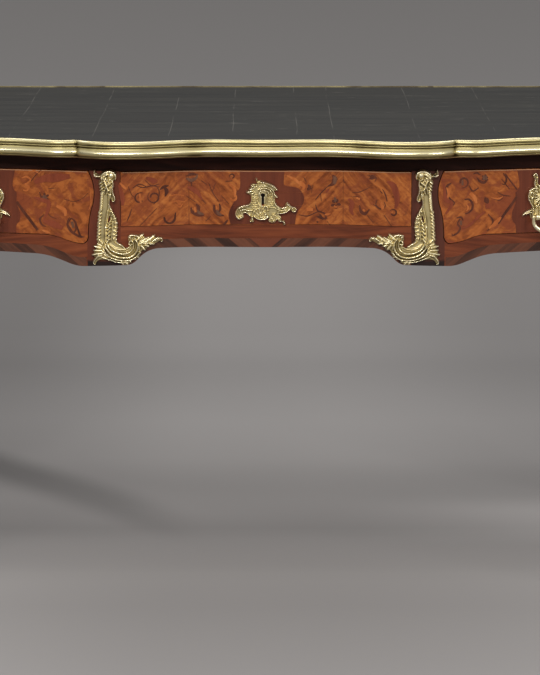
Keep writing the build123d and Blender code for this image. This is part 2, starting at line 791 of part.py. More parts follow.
def build_handle_plate():
    """Back plate with two pierced ears, and the keyhole."""
    x, z = key_place("side")
    right = plate_outline
    points = right + [(-dx, dz) for dx, dz in reversed(right[1:-1])]
    plate = cast_plate(outline(points, x, z))
    ears = []
    for side in (-1, 1):
        x0 = side * ear_x - ear_width / 2
        pivot_z = z - ear_drop
        low, high = pivot_z - ear_radius, pivot_z + ear_radius
        neck = box(x + x0, x + x0 + ear_width, handle_pivot_y(), front_at(x), low, high)
        ears.append(neck + ear_rod(ear_radius, x0, x0 + ear_width))
    plate = plate + ears[0] + ears[1]
    plate -= front_band(-glue_line, drawer_front_thickness, leg_top, desk_height)
    for side in (-1, 1):
        x0 = side * ear_x - ear_width
        plate -= ear_rod(pivot_radius + pivot_fit, x0, x0 + 2 * ear_width)
    return plate - keyhole(x, z)


def build_bail():
    """Drop handle: a bowed bar with a pivot at each end that passes inward through its ear."""
    pivot_z = key_place("side")[1] - ear_drop
    arm = ear_x + ear_width / 2 + pivot_play + bail_radius
    at = handle_pivot_y()
    plane = Plane(origin=(side_centre, at, pivot_z), x_dir=(1, 0, 0), z_dir=(0, -1, 0))
    bow = EllipticalCenterArc((0, -bail_neck), arm, bail_drop - bail_neck, start_angle=180, arc_size=180)
    necks = [Line((-arm, 0), (-arm, -bail_neck)), Line((arm, -bail_neck), (arm, 0))]
    path = plane * Wire([necks[0].edge(), bow.edge(), necks[1].edge()])
    section = Plane(origin=path @ 0, z_dir=path % 0) * Circle(bail_radius)
    bar = sweep(section, path=path)
    for side in (-1, 1):
        bar += Pos(side_centre + side * arm, at, pivot_z) * Sphere(bail_radius)
        inner = side * (ear_x - ear_width / 2 - pivot_stub)
        x0, x1 = sorted((inner, side * arm))
        bar += ear_rod(pivot_radius, x0, x1)
    return bar


# ================================================================ build and write
def save_pair(name, solid):
    """A right-hand piece and its mirror image."""
    save(f"{name}_right", solid)
    save(f"{name}_left", flip_x(solid))


def save_corners(name, solid):
    """A front right piece and its three mirror images."""
    save_pair(f"{name}_front", solid)
    save_pair(f"{name}_back", flip_y(solid))


def save_carcass():
    save("front_top_rail", build_top_rail())
    stile, apron_centre, apron_side = build_front_frame()
    save_pair("front_stile", stile)
    save("front_apron_centre", apron_centre)
    save_pair("front_apron", apron_side)
    panel, false_fronts = build_back()
    save("back_panel", panel)
    save("back_false_fronts", *false_fronts)
    save_pair("end_panel", build_end_panel())
    save_pair("partition", build_partition())
    save("drawer_runners", *build_runners())
    save("glue_blocks", *build_glue_blocks())
    save("top_screws", *screw_group(0))


def save_legs():
    leg = leg_body(0) & box(0, top_length, -top_depth, 0, foot_floor, desk_height)
    save_corners("leg", leg)
    save_corners("corner_mount", build_corner_mount())
    save_corners("sabot", build_sabot())


def save_mounts():
    mount = build_kneehole_mount()
    save_pair("kneehole_mount", mount)
    save("kneehole_mounts_back", flip_y(mount), flip_x(flip_y(mount)))
    pins = pins_at(kneehole_pins, half_centre, drawer_top, 0)
    every = pins + [flip_x(pin) for pin in pins]
    save("mount_pins", *every, *[flip_y(pin) for pin in every])


def save_drawers():
    for part, solids in build_drawer("centre").items():
        save(f"centre_drawer_{part}", *solids)
    save("centre_escutcheon", build_escutcheon())
    side = build_drawer("side")
    side["handle_plate"] = [build_handle_plate()]
    side["bail"] = [build_bail()]
    for part, solids in side.items():
        save(f"right_drawer_{part}", *solids)
        save(f"left_drawer_{part}", *[flip_x(solid) for solid in solids])


def save_top():
    board, leather, moulding = build_top()
    save("top_board", board - screw_holes())
    save("leather_lining", leather)
    for name, piece in rim_pieces(moulding).items():
        save(name, piece)


def main():
    os.makedirs("parts", exist_ok=True)
    save_carcass()
    save_legs()
    save_mounts()
    save_drawers()
    save_top()


if __name__ == "__main__":
    main()
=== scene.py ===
# %% [markdown]
# # Dressing a serpentine writing table
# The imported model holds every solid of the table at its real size, and it stays as it is. This lesson
# gives those solids their looks. Flat veneers and bronze castings are built as meshes that bend round
# the serpentine frieze, and the plain structural wood keeps its solids and only gets a finish.
# %% Load the frame
import math

import bpy
import numpy as np
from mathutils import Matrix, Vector
from mathutils.bvhtree import BVHTree


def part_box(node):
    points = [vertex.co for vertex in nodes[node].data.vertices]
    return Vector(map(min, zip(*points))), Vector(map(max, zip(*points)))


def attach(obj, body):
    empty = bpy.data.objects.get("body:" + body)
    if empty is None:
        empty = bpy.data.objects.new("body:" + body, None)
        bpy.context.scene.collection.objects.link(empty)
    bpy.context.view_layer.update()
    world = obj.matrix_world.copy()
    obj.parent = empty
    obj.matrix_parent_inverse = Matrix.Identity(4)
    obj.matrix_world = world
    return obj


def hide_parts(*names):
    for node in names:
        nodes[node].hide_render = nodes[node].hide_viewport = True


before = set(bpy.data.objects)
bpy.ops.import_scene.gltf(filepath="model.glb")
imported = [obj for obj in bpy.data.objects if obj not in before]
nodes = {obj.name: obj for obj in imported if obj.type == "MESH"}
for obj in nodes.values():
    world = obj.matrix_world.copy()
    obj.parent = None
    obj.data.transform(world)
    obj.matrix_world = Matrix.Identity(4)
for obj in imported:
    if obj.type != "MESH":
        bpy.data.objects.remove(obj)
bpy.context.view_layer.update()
scene = bpy.context.scene
scene.view_settings.view_transform = "Standard"

# %% [markdown]
# ## The camera
# Furniture is best seen from far away through a long lens, so that the legs don't splay and the top
# doesn't swell. The camera stands five metres off, a little above the table, and looks down on it.
# %% Camera
camera_place = (0.0063, -5.0976, 1.3914)
camera_tilt = 11.084               # degrees below level
lens_length = 162.13               # on a 36 mm sensor

lens = bpy.data.cameras.new("camera")
lens.lens = lens_length
lens.sensor_width = 36
camera = bpy.data.objects.new("camera", lens)
camera.location = camera_place
camera.rotation_euler = (math.radians(90 - camera_tilt), 0, 0)
scene.collection.objects.link(camera)
scene.camera = camera
print("camera", camera_place, "lens", lens_length)

# %% [markdown]
# ## Sums on sockets
# A material is a graph of nodes, and most of its nodes only add or multiply. Wrapping an output socket
# in a small class lets Python write that graph: `1 - mask` adds one Math node. A sum with a colour in
# it becomes a Mix node and a sum of vectors a Vector Math node, because a Math node turns both grey.
# %% Signal and Finish


class Signal:
    """The output of a node. A sum on it adds the node that works the sum out."""

    def __init__(self, finish, socket):
        self.finish = finish
        self.socket = socket

    def __add__(self, other):
        return self.finish.combine("ADD", self, other)

    def __radd__(self, other):
        return self.finish.combine("ADD", other, self)

    def __sub__(self, other):
        return self.finish.combine("SUBTRACT", self, other)

    def __rsub__(self, other):
        return self.finish.combine("SUBTRACT", other, self)

    def __mul__(self, other):
        return self.finish.combine("MULTIPLY", self, other)

    def __rmul__(self, other):
        return self.finish.combine("MULTIPLY", other, self)

    def __truediv__(self, other):
        return self.finish.combine("DIVIDE", self, other)

    def __gt__(self, other):
        return self.finish.combine("GREATER_THAN", self, other)

    def __mod__(self, other):
        return self.finish.combine("MODULO", self, other)

    def __abs__(self):
        return self.finish.combine("ABSOLUTE", self, 0.0)


def widened(value, size):
    """A number or a short tuple as a tuple that fits a colour or vector socket."""
    if isinstance(value, Signal):
        return value
    if isinstance(value, (int, float)):
        value = (value,) * 3
    return tuple(value) + (1.0,) * (size - len(value))


class Finish:
    """A material with one Principled shader, and the nodes that vary it over the surface."""

    mix_out = 2                    # the Mix node's colour output

    def __init__(self, name, **constants):
        self.material = bpy.data.materials.new(name)
        self.material.use_nodes = True
        self.tree = self.material.node_tree
        self.shader = self.tree.nodes["Principled BSDF"]
        self.set(**constants)
        self.where = self.add("ShaderNodeTexCoord", output="Object")

    def add(self, kind, settings=None, values=None, output=0):
        """Any node: its type, its settings first, then its sockets' values or links."""
        node = self.tree.nodes.new(kind)
        for name, value in (settings or {}).items():
            if name == "stops":
                self.lay_stops(node.color_ramp, value)
            else:
                setattr(node, name, value)
        for name, value in (values or {}).items():
            self.feed(node.inputs[name], value)
        return Signal(self, node.outputs[output])

    def feed(self, socket, value):
        if isinstance(value, Signal):
            self.tree.links.new(value.socket, socket)
        else:
            socket.default_value = value

    def lay_stops(self, ramp, stops):
        while len(ramp.elements) < len(stops):
            ramp.elements.new(0.5)
        for element, (place, colour) in zip(ramp.elements, stops):
            element.position = place
            element.color = widened(colour, 4)

    def set(self, **sockets):
        """Values or signals for the shader's own sockets; an underscore stands for a space."""
        for name, value in sockets.items():
            value = widened(value, 4) if isinstance(value, tuple) else value
            self.feed(self.shader.inputs[name.replace("_", " ")], value)

    def combine(self, operation, first, second):
        kinds = [item.socket.type for item in (first, second) if isinstance(item, Signal)]
        if "RGBA" in kinds:
            settings = {"data_type": "RGBA", "blend_type": operation}
            values = {0: 1.0, 6: widened(first, 4), 7: widened(second, 4)}
            return self.add("ShaderNodeMix", settings, values, self.mix_out)
        if "VECTOR" in kinds:
            values = {0: widened(first, 3), 1: widened(second, 3)}
            return self.add("ShaderNodeVectorMath", {"operation": operation}, values)
        return self.add("ShaderNodeMath", {"operation": operation}, {0: first, 1: second})

    def split(self, vector):
        """The three numbers in a vector."""
        first = self.add("ShaderNodeSeparateXYZ", values={0: vector})
        node = first.socket.node
        return [Signal(self, socket) for socket in node.outputs]

    def join(self, x, y, z):
        return self.add("ShaderNodeCombineXYZ", values={0: x, 1: y, 2: z})

    def noise(self, vector, scale, detail=3.0, roughness=0.55, distortion=0.0):
        values = {"Vector": vector, "Scale": scale, "Detail": detail, "Roughness": roughness}
        values["Distortion"] = distortion
        return self.add("ShaderNodeTexNoise", values=values)

    def ramp(self, factor, *stops):
        return self.add("ShaderNodeValToRGB", {"stops": stops}, {0: factor})

    def between(self, value, low, high):
        """0 below low, 1 above high, and a smooth step from one to the other."""
        settings = {"interpolation_type": "SMOOTHSTEP"}
        return self.add("ShaderNodeMapRange", settings, {0: value, 1: low, 2: high})

    def mix(self, factor, first, second):
        values = {0: factor, 6: widened(first, 4), 7: widened(second, 4)}
        return self.add("ShaderNodeMix", {"data_type": "RGBA"}, values, self.mix_out)

    def bump(self, height, depth, strength=1.0, normal=None):
        """Relief too fine to model; depth is in metres."""
        values = {"Height": height, "Distance": depth, "Strength": strength}
        if normal:
            values["Normal"] = normal
        return self.add("ShaderNodeBump", values=values)


def srgb(red, green, blue):
    """A colour read as 0 to 255 on a screen, as the linear values that a shader takes."""
    shares = [value / 255 for value in (red, green, blue)]
    return tuple(((s + 0.055) / 1.055) ** 2.4 if s > 0.04045 else s / 12.92 for s in shares)


print("black leather as a shader sees it", [round(v, 4) for v in srgb(68, 67, 65)])

# %% [markdown]
# ## Leather
# The writing surface is a skin of dark leather glued over planks. The planks' joints telegraph through
# it as faint lines from front to back, and years of writing leave pale scuffs and a rubbed sheen. One
# noise makes each mark: a stretched noise makes streaks, and a sharp threshold makes scratches.
# %% Leather finish
plank_joints = (-0.66, -0.53, -0.407, -0.275, -0.155, -0.055, 0.049, 0.107, 0.243, 0.368, 0.5, 0.62)
joint_width = 0.0011


def make_leather():
    skin = Finish("black_leather", Specular_IOR_Level=0.12)
    x, y, z = skin.split(skin.where)
    cloud = skin.noise(skin.where, 5.0, detail=4)
    streak = skin.noise(skin.join(x * 3, y * 95, z), 1.0, detail=5)
    grain = skin.add("ShaderNodeTexVoronoi", values={"Vector": skin.where, "Scale": 900.0})
    bend = skin.noise(skin.join(x * 4, y * 2.5, z), 1.0, detail=2)
    joints = 0.0
    for place in plank_joints:
        gap = abs(x - place + (bend - 0.5) * 0.012)
        joints = joints + skin.between(gap, joint_width, 0.0)
    patchy = skin.between(skin.noise(skin.where * (30, 9, 1), 1.0, detail=3), 0.42, 0.62)
    joint_mark = joints * patchy
    cut = skin.noise(skin.join(x * 11, y * 150, z), 1.0, detail=2)
    scratch = skin.between(cut, 0.66, 0.72) * patchy
    scuff = skin.between(skin.noise(skin.where * (22, 60, 1), 1.0, detail=5), 0.66, 0.78)
    colour = skin.mix(cloud, srgb(14, 13, 11), srgb(29, 27, 23))
    colour = skin.mix(skin.between(streak, 0.35, 0.7) * 0.8, colour, srgb(47, 45, 40))
    colour = skin.mix(joint_mark * 0.35, colour, srgb(120, 116, 108))
    colour = skin.mix(scratch * 0.4 + scuff * 0.35, colour, srgb(118, 113, 104))
    skin.set(Base_Color=colour, Roughness=0.42 + 0.18 * streak + 0.1 * cloud)
    fine = skin.bump(grain, 0.00012, 0.5)
    skin.set(Normal=skin.bump(joint_mark + streak * 0.25, 0.0004, 0.6, fine))
    return skin.material


leather = make_leather()
print("leather joints telegraphed:", len(plank_joints))

# %% [markdown]
# ## Gilt bronze
# Fire-gilt bronze is a metal: its colour is the colour of its reflections. Castings are chased, so the
# high places are burnished bright and the hollows stay matt and keep dirt; the colour also paints
# shade into the hollows and highlights onto the ridges. Each casting carries a value called
# `worn`, from 0 in a hollow to 1 on a ridge, which is worked out from its own relief.
# %% Bronze finish
# bright_gold is burnished gilding and a painted highlight, hollow_gold is dirt and painted shade
bright_gold = srgb(255, 245, 208)
deep_gold = srgb(212, 194, 142)
hollow_gold = srgb(78, 66, 36)


def make_bronze(name, worn_from_mesh):
    metal = Finish(name, Metallic=1.0)
    cloud = metal.noise(metal.where, 60.0, detail=4)
    speck = metal.noise(metal.where, 900.0, detail=2)
    if worn_from_mesh:
        worn = metal.add("ShaderNodeAttribute", {"attribute_name": "worn"}, output="Fac")
    else:
        worn = 0.62 + 0.3 * (cloud - 0.5)
    # low puts dirt and painted shade in the hollows, high burnish and painted highlight on the ridges
    tone = worn + (cloud - 0.5) * 0.35
    low = metal.between(tone, 0.04, 0.4)
    high = metal.between(tone, 0.36, 0.82)
    colour = metal.mix(high, metal.mix(low, hollow_gold, deep_gold), bright_gold)
    metal.set(Base_Color=colour, Roughness=0.4 - 0.2 * high + 0.08 * speck)
    metal.set(Normal=metal.bump(speck + cloud * 2, 0.00015, 0.35))
    return metal.material


bronze = make_bronze("gilt_bronze_chased", True)
plain_bronze = make_bronze("gilt_bronze_plain", False)
print("bronze finishes:", bronze.name, plain_bronze.name)

# %% [markdown]
# ## Woods
# Veneer shows long fibres: noise stretched a hundred times along the grain. Every wood here is one
# recipe with its own three tones and its own way of turning a place into a distance along and across
# the grain, so that tulipwood can meet in a V while oak runs straight.
# %% Wood finish


def grain_of(wood, along, across, depth=0.0):
    """Three sizes of fibre, mixed: broad flame, stripes and fine pores."""
    flame = wood.noise(wood.join(along * 5, across * 26, depth), 1.0, 4, 0.6, 0.8)
    stripe = wood.noise(wood.join(along * 7, across * 150, depth), 1.0, 3, 0.55, 0.4)
    pore = wood.noise(wood.join(along * 40, across * 1500, depth), 1.0, 2)
    return flame, stripe, pore


def make_wood(name, tones, lay, contrast=1.0, polish=0.32, coat=0.08, shine=0.25, foot=None):
    """lay turns x, y and z into distances along and across the grain. Near-black painted shade below
    foot.
    """
    wood = Finish(name, Coat_Weight=coat, Coat_Roughness=0.18, Specular_IOR_Level=shine)
    x, y, z = wood.split(wood.where)
    along, across = lay(wood, x, y, z)
    flame, stripe, pore = grain_of(wood, along, across)
    figure = 0.5 + contrast * ((flame - 0.5) * 0.9 + (stripe - 0.5) * 0.75 + (pore - 0.5) * 0.2)
    dark, middle, light = tones
    colour = wood.ramp(figure, (0.22, dark), (0.5, middle), (0.8, light))
    # below foot the wood is painted near black: painted shade under the kneehole mounts
    if foot:
        colour = wood.mix(wood.between(z, foot + 0.006, foot), colour, srgb(36, 22, 18))
    wood.set(Base_Color=colour, Roughness=polish + 0.12 * stripe)
    wood.set(Normal=wood.bump(pore + stripe * 0.5, 0.00008, 0.35))
    return wood.material


def level_grain(wood, x, y, z):
    """Fibres along X, as on a long rail."""
    return x, z + y * 0.7


def upright_grain(wood, x, y, z):
    """Fibres along Z, as on a leg or a stile."""
    return z, x * 0.8 + y * 0.75


def deep_grain(wood, x, y, z):
    """Fibres along Y, as on a drawer's side."""
    return y, z + x * 0.6


oak_tones = (srgb(118, 84, 50), srgb(158, 122, 80), srgb(184, 150, 106))
kingwood_tones = (srgb(44, 24, 18), srgb(78, 42, 30), srgb(104, 58, 40))
reserve_tones = (srgb(64, 27, 17), srgb(93, 44, 27), srgb(114, 56, 33))
# a darker copy of the reserve tones for the right stile: painted shade
shaded_stile_tones = (srgb(52, 24, 17), srgb(76, 39, 28), srgb(94, 49, 34))
band_tones = (srgb(66, 28, 14), srgb(104, 50, 27), srgb(132, 68, 37))
# near-black rail tones: a dark wood, darkened further as painted shade under the top's overhang
dark_rail_and_shade_tones = (srgb(22, 11, 8), srgb(39, 19, 13), srgb(56, 28, 20))

oak = make_wood("oak_planed", oak_tones, deep_grain, coat=0.0, polish=0.55)
oak_long = make_wood("oak_long", oak_tones, level_grain, coat=0.0, polish=0.55)
kingwood = make_wood("kingwood_upright", kingwood_tones, upright_grain)
reserve_wood = make_wood("reserve_upright", reserve_tones, upright_grain, contrast=0.7)
# foot paints the stiles near black below 0.582 m: painted shade under the kneehole mounts
stile_settings = {"contrast": 0.7, "foot": 0.582}
stile_wood = make_wood("stile_upright", reserve_tones, upright_grain, **stile_settings)
shaded_stile_wood = make_wood("stile_dark", shaded_stile_tones, upright_grain, **stile_settings)
band_wood = make_wood("band_level", band_tones, level_grain)
dark_rail_and_shade_wood = make_wood("rail_dark", dark_rail_and_shade_tones, level_grain, contrast=0.8, coat=0.0, shine=0.08)
print("woods:", [m.name for m in bpy.data.materials if "oak" in m.name or "wood" in m.name])

# %% [markdown]
# Tulipwood is laid in diagonals. Folding a coordinate with an absolute value turns straight stripes
# into chevrons: `|x|` mirrors them at the middle, and folding once more puts an apex at each joint.
# %% Tulipwood
chevron_apex = 0.122
side_centre = 0.468
side_middle = 0.668
root_half = math.sqrt(0.5)
tulip_tones = (srgb(86, 36, 14), srgb(142, 74, 32), srgb(184, 110, 52))


def centre_fold(wood, x, z):
    """Chevrons with their points up at the apexes."""
    half = abs(x)
    return chevron_apex - abs(half - chevron_apex), z, half - chevron_apex


def quarter_fold(wood, x, z):
    """Four quarters that run towards the handle."""
    across = abs(x) - side_centre
    return abs(across), abs(z - side_middle), across


def make_tulipwood(name, fold, stripes=0.85, patches=0.45):
    wood = Finish(name, Coat_Weight=0.08, Coat_Roughness=0.15, Specular_IOR_Level=0.25)
    x, y, z = wood.split(wood.where)
    level, upright, joint = fold(wood, x, z)
    along = (level + upright) * root_half
    sway = wood.noise(wood.where, 24.0, detail=3) - 0.5
    across = (upright - level) * root_half + sway * 0.012
    flame, stripe, pore = grain_of(wood, along, across, x * 0.8)
    mottle = wood.noise(wood.join(x * 70, z * 90, y), 1.0, 4, 0.6, 1.2)
    fibres = ((flame - 0.5) * 0.6 + (stripe - 0.5)) * stripes
    figure = 0.5 + fibres + (pore - 0.5) * 0.2 + (mottle - 0.5) * 0.7
    dark, middle, light = tulip_tones
    colour = wood.ramp(figure, (0.2, dark), (0.5, middle), (0.82, light))
    seam = wood.between(abs(joint), 0.0007, 0.0002)
    cloud = wood.noise(wood.join(x, z, y), 26.0, 2, 0.5, 1.6)
    colour = wood.mix(wood.between(cloud, 0.5, 0.6) * patches, colour, srgb(122, 58, 33))
    colour = wood.mix(wood.between(cloud, 0.44, 0.36) * patches * 0.7, colour, srgb(174, 98, 44))
    engraved = abs(wood.noise(wood.join(x, z + 3.0, y), 42.0, 2, 0.5, 1.2) - 0.5)
    engraved = wood.between(engraved, 0.012, 0.003) * wood.between(cloud, 0.4, 0.56)
    colour = wood.mix(engraved * 0.4, colour, srgb(84, 38, 20))
    wood.set(Base_Color=wood.mix(seam * 0.6, colour, srgb(60, 30, 20)))
    wood.set(Roughness=0.28 + 0.14 * stripe)
    wood.set(Normal=wood.bump(pore + stripe, 0.00008, 0.35))
    return wood.material


tulip_centre = make_tulipwood("tulipwood_chevron", centre_fold)
tulip_side = make_tulipwood("tulipwood_quartered", quarter_fold, stripes=0.5, patches=0.75)
print("tulipwood apexes at +-", chevron_apex, "and a quarter joint at +-", side_centre)

# %% [markdown]
# ## Crossbanding
# A narrow band of veneer follows the lower edge of the frieze, cut in short slanted blocks. Dividing
# the distance by a block's width and taking the whole part numbers the blocks, and a white noise of
# that number gives each block its own tone.
# %% Crossband finish
block_width = 0.024
block_tones = (srgb(52, 33, 26), srgb(80, 48, 35), srgb(104, 62, 44))


def make_crossband():
    wood = Finish("crossband_blocks", Coat_Weight=0.08, Coat_Roughness=0.2, Specular_IOR_Level=0.25)
    x, y, z = wood.split(wood.where)
    slant = abs(x) - (z - 0.61) * 1.2
    count = wood.add("ShaderNodeMath", {"operation": "FLOOR"}, {0: slant / block_width})
    block = wood.join(count, x > 0.0, 0.0)
    chance = wood.add("ShaderNodeTexWhiteNoise", {"noise_dimensions": "2D"}, {"Vector": block})
    within = abs(wood.add("ShaderNodeMath", {"operation": "FRACT"}, {0: slant / block_width}) - 0.5)
    seam = wood.between(within, 0.44, 0.5)
    flame, stripe, pore = grain_of(wood, z + abs(x) * 0.8, slant)
    shade = (count % 2.0) * 0.3 + chance * 0.3 + stripe * 0.55 + (flame - 0.5) * 0.9
    dark, middle, light = block_tones
    colour = wood.ramp(shade, (0.25, dark), (0.55, middle), (0.9, light))
    plain = wood.between(slant, 0.016, 0.013)
    colour = wood.mix(seam * 0.45, colour, srgb(112, 62, 40))
    wood.set(Base_Color=wood.mix(plain * 0.8, colour, srgb(112, 58, 38)), Roughness=0.3 + 0.1 * stripe)
    wood.set(Normal=wood.bump(pore + seam * 2, 0.00008, 0.3))
    return wood.material


crossband = make_crossband()
print("crossband blocks:", block_width, "m wide")

# %% [markdown]
# ## Following a solid's surface
# A veneer or a casting is drawn flat, then wrapped. Rays fired at the solid find its surface, so a
# wrapped piece always touches what carries it. The frieze is straight up and down, so one row of rays
# along the top rail gives its whole serpentine: `front_y(x)`.
# %% Rays and the serpentine
rail_setback = 0.003
rail_ray_z = 0.740
rail_reach = 0.662


def tree_of(*names):
    """One ray-catching tree of several solids."""
    points, faces = [], []
    for name in names:
        mesh = nodes[name].data
        start = len(points)
        points.extend(vertex.co.copy() for vertex in mesh.vertices)
        faces.extend([start + index for index in face.vertices] for face in mesh.polygons)
    return BVHTree.FromPolygons(points, faces)


def probe(tree, start, direction):
    """Where a ray first meets the solids, or None."""
    return tree.ray_cast(Vector(start), Vector(direction).normalized())[0]


rail_tree = tree_of("front_top_rail")
curve_x = np.arange(-rail_reach, rail_reach + 1e-6, 0.002)
curve_y = []
for place in curve_x:
    curve_y.append(probe(rail_tree, (place, -1.0, rail_ray_z), (0, 1, 0)).y - rail_setback)
curve_y = np.array(curve_y)


def front_y(x):
    """The frieze's face, also for a whole array of places."""
    return np.interp(x, curve_x, curve_y)


def on_front(x, z, lift):
    return np.stack([x, front_y(x) - lift, z], axis=-1)


def on_back(x, z, lift):
    return np.stack([x, lift - front_y(x), z], axis=-1)


print("frieze at the middle and at the handles:", front_y(np.array((0.0, side_centre))).round(4))

# %% [markdown]
# ## Turning points into pieces
# Every new piece goes through `add_piece`, which links it, shades it smooth, gives it its finish and
# says what it rides on. `sheet` wraps a grid of flat points and closes it with a skirt, so that a
# veneer has an edge and no open side.
# %% Pieces and sheets
veneer_lift = 0.00025
veneer_sink = 0.0006
sides = (("left", -1), ("right", 1))
ends = (("front", 1), ("back", -1))
made = []


def add_piece(name, points, faces, material, body, smooth=True):
    mesh = bpy.data.meshes.new(name)
    mesh.from_pydata([tuple(point) for point in points], [], [tuple(face) for face in faces])
    mesh.polygons.foreach_set("use_smooth", [smooth] * len(mesh.polygons))
    mesh.materials.append(material)
    piece = bpy.data.objects.new(name, mesh)
    scene.collection.objects.link(piece)
    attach(piece, body)
    made.append(name)
    return piece


def grid_faces(rows, columns, start=0):
    faces = []
    for row in range(rows - 1):
        for column in range(columns - 1):
            corner = start + row * columns + column
            faces.append((corner, corner + 1, corner + columns + 1, corner + columns))
    return faces


def ring_faces(rings, count, closed=False):
    """Faces between rings of count points. closed joins the last ring to the first."""
    faces = []
    for ring in range(rings if closed else rings - 1):
        here, there = ring * count, (ring + 1) % rings * count
        for index in range(count):
            after = (index + 1) % count
            faces.append((here + index, here + after, there + after, there + index))
    return faces


def skirted(grid, place, lift, sink):
    """A wrapped grid with its underside and its four edges: points and faces."""
    rows, columns = grid.shape[:2]
    flat = grid.reshape(-1, 2)
    over = place(flat[:, 0], flat[:, 1], lift)
    under = place(flat[:, 0], flat[:, 1], -sink)
    faces = grid_faces(rows, columns)
    count = rows * columns
    faces += [tuple(count + index for index in reversed(face)) for face in faces]
    border = list(range(columns))
    border += [row * columns + columns - 1 for row in range(1, rows)]
    border += [(rows - 1) * columns + column for column in range(columns - 2, -1, -1)]
    border += [row * columns for row in range(rows - 2, 0, -1)]
    for here, after in zip(border, border[1:] + border[:1]):
        faces.append((after, here, count + here, count + after))
    return np.concatenate([over, under]), faces


def sheet(name, grid, material, body, place=on_front, lift=veneer_lift):
    points, faces = skirted(grid, place, lift, veneer_sink)
    return add_piece(name, points, faces, material, body, smooth=False)


def between_curves(xs, low, high, rows=2):
    """A grid from a lower to an upper curve, each a list of heights at xs."""
    shares = np.linspace(0, 1, rows)[:, None]
    heights = np.asarray(low)[None] * (1 - shares) + np.asarray(high)[None] * shares
    return np.stack([np.broadcast_to(np.asarray(xs)[None], heights.shape), heights], axis=-1)


print("one sheet's skirt goes", veneer_sink * 1000, "mm into the wood")

# %% [markdown]
# ## Edges of the solids
# The crossbanding has to follow the lower edge of the frieze, which curves. Rays fired upwards just
# behind the face find that edge, and the same trick finds the lower edge of each drawer front.
# %% Lower edges
behind_face = 0.004
frieze_bottom = ("apron_centre", "apron_left", "apron_right", "stile_left", "stile_right")
apron_tree = tree_of(*(f"front_{part}" for part in frieze_bottom))


def lower_edge(tree, xs):
    """The height of the lowest wood at each place along the front."""
    heights = []
    for x in xs:
        found = probe(tree, (x, front_y(x) + behind_face, 0.3), (0, 0, 1))
        heights.append(found.z if found else np.nan)
    heights = np.array(heights)
    known = ~np.isnan(heights)
    return np.interp(xs, np.asarray(xs)[known], heights[known])


apron_x = np.arange(-0.658, 0.6581, 0.004)
apron_low = lower_edge(apron_tree, apron_x)
print("apron edge from", apron_low.min().round(4), "to", apron_low.max().round(4))

# %% [markdown]
# ## Carving relief
# A gilt mount is a shallow relief: scrolls and leaves that rise and taper. Each one is a stroke, a
# path with a radius at each point. `Relief` measures how far every cell of a fine grid is from the
# stroke and looks a height up from that, so strokes grow into each other as modelled wax does.
#
# Every drawing is written as text on squared paper, one place after another: across, down, and half
# the width of the stroke there.
# %% Drawings as text
mm = 0.001


def places(drawn):
    """A drawing's places as tuples of numbers. What is already worked out stays as it is."""
    if not isinstance(drawn, str):
        return drawn
    return [tuple(map(float, place.split(","))) for place in drawn.split()]


def paper(zeros, squares):
    """A reader for one sheet of paper: where its zero lies and how big its squares are, all in mm."""

    def read(drawn):
        scales = list(zip(zeros, squares))
        return [tuple((zero + square * value) * mm for (zero, square), value in zip(scales, place))
                for place in places(drawn)]

    return read


print("a stroke of two places, in metres:", paper((0, 0, 0), (1, 1, 1))("10,20,3 30,20,4"))

# %% [markdown]
# A carver draws a scroll with one sweep, so a few places are enough: a curve is led through them.
# %% Smooth paths


def smooth_path(points, step):
    """A Catmull-Rom curve through the points, in even steps. Extra columns, such as radii, ride along."""
    points = np.asarray(points, float)
    padded = np.concatenate([2 * points[:1] - points[1:2], points, 2 * points[-1:] - points[-2:-1]])
    pieces = []
    for index in range(len(points) - 1):
        before, start, end, after = padded[index:index + 4]
        count = max(2, int(np.hypot(*(end - start)[:2]) / step) + 1)
        t = np.linspace(0, 1, count, endpoint=False)[:, None]
        curve = 2 * start + (end - before) * t + (2 * before - 5 * start + 4 * end - after) * t ** 2
        pieces.append(0.5 * (curve + (3 * start - before - 3 * end + after) * t ** 3))
    return np.concatenate(pieces + [points[-1:]])


def headings(path):
    """The direction of a path at each of its places."""
    heading = np.gradient(path[:, :2], axis=0)
    return heading / np.maximum(np.hypot(heading[:, 0], heading[:, 1]), 1e-9)[:, None]


def travelled(path):
    """The distance along a path to each of its places."""
    return np.concatenate([[0], np.cumsum(np.hypot(*np.diff(path[:, :2], axis=0).T))])


def spiral(centre, radius, start, turns, shrink, count):
    """A scroll's path from the outside in: angles in degrees, clockwise where turns is negative."""
    shares = np.linspace(0, 1, count)
    angles = np.radians(start + 360 * turns * shares)
    radii = radius * (1 - (1 - shrink) * shares ** 0.8)
    return np.stack([centre[0] + radii * np.cos(angles), centre[1] + radii * np.sin(angles)], axis=-1)


def tapered(count, low, high, end, peak):
    """Radii that swell from low to high at the peak and fall to end."""
    shares = np.linspace(0, 1, count)
    rising = low + (high - low) * np.sin(np.clip(shares / peak, 0, 1) * math.pi / 2)
    falling = end + (high - end) * np.cos(np.clip((shares - peak) / (1 - peak), 0, 1) * math.pi / 2)
    return np.where(shares < peak, rising, falling)


print("a path of two points, 10 mm apart, in steps of 3:", smooth_path([(0, 0), (10, 0)], 3)[:, 0])

# %% [markdown]
# The height across a stroke is its style. `q` runs from 0 on the middle line to 1 at the edge, and
# `s` counts distance along the stroke. A round stroke is a half circle, a leaf has a vein and slanted
# ribs, a channel has raised edges, and a reeded one is a bundle of rods.
# %% Styles


def round_style(q, side, s, pitch):
    return np.sqrt(np.clip(1 - q ** 2, 0, 1))


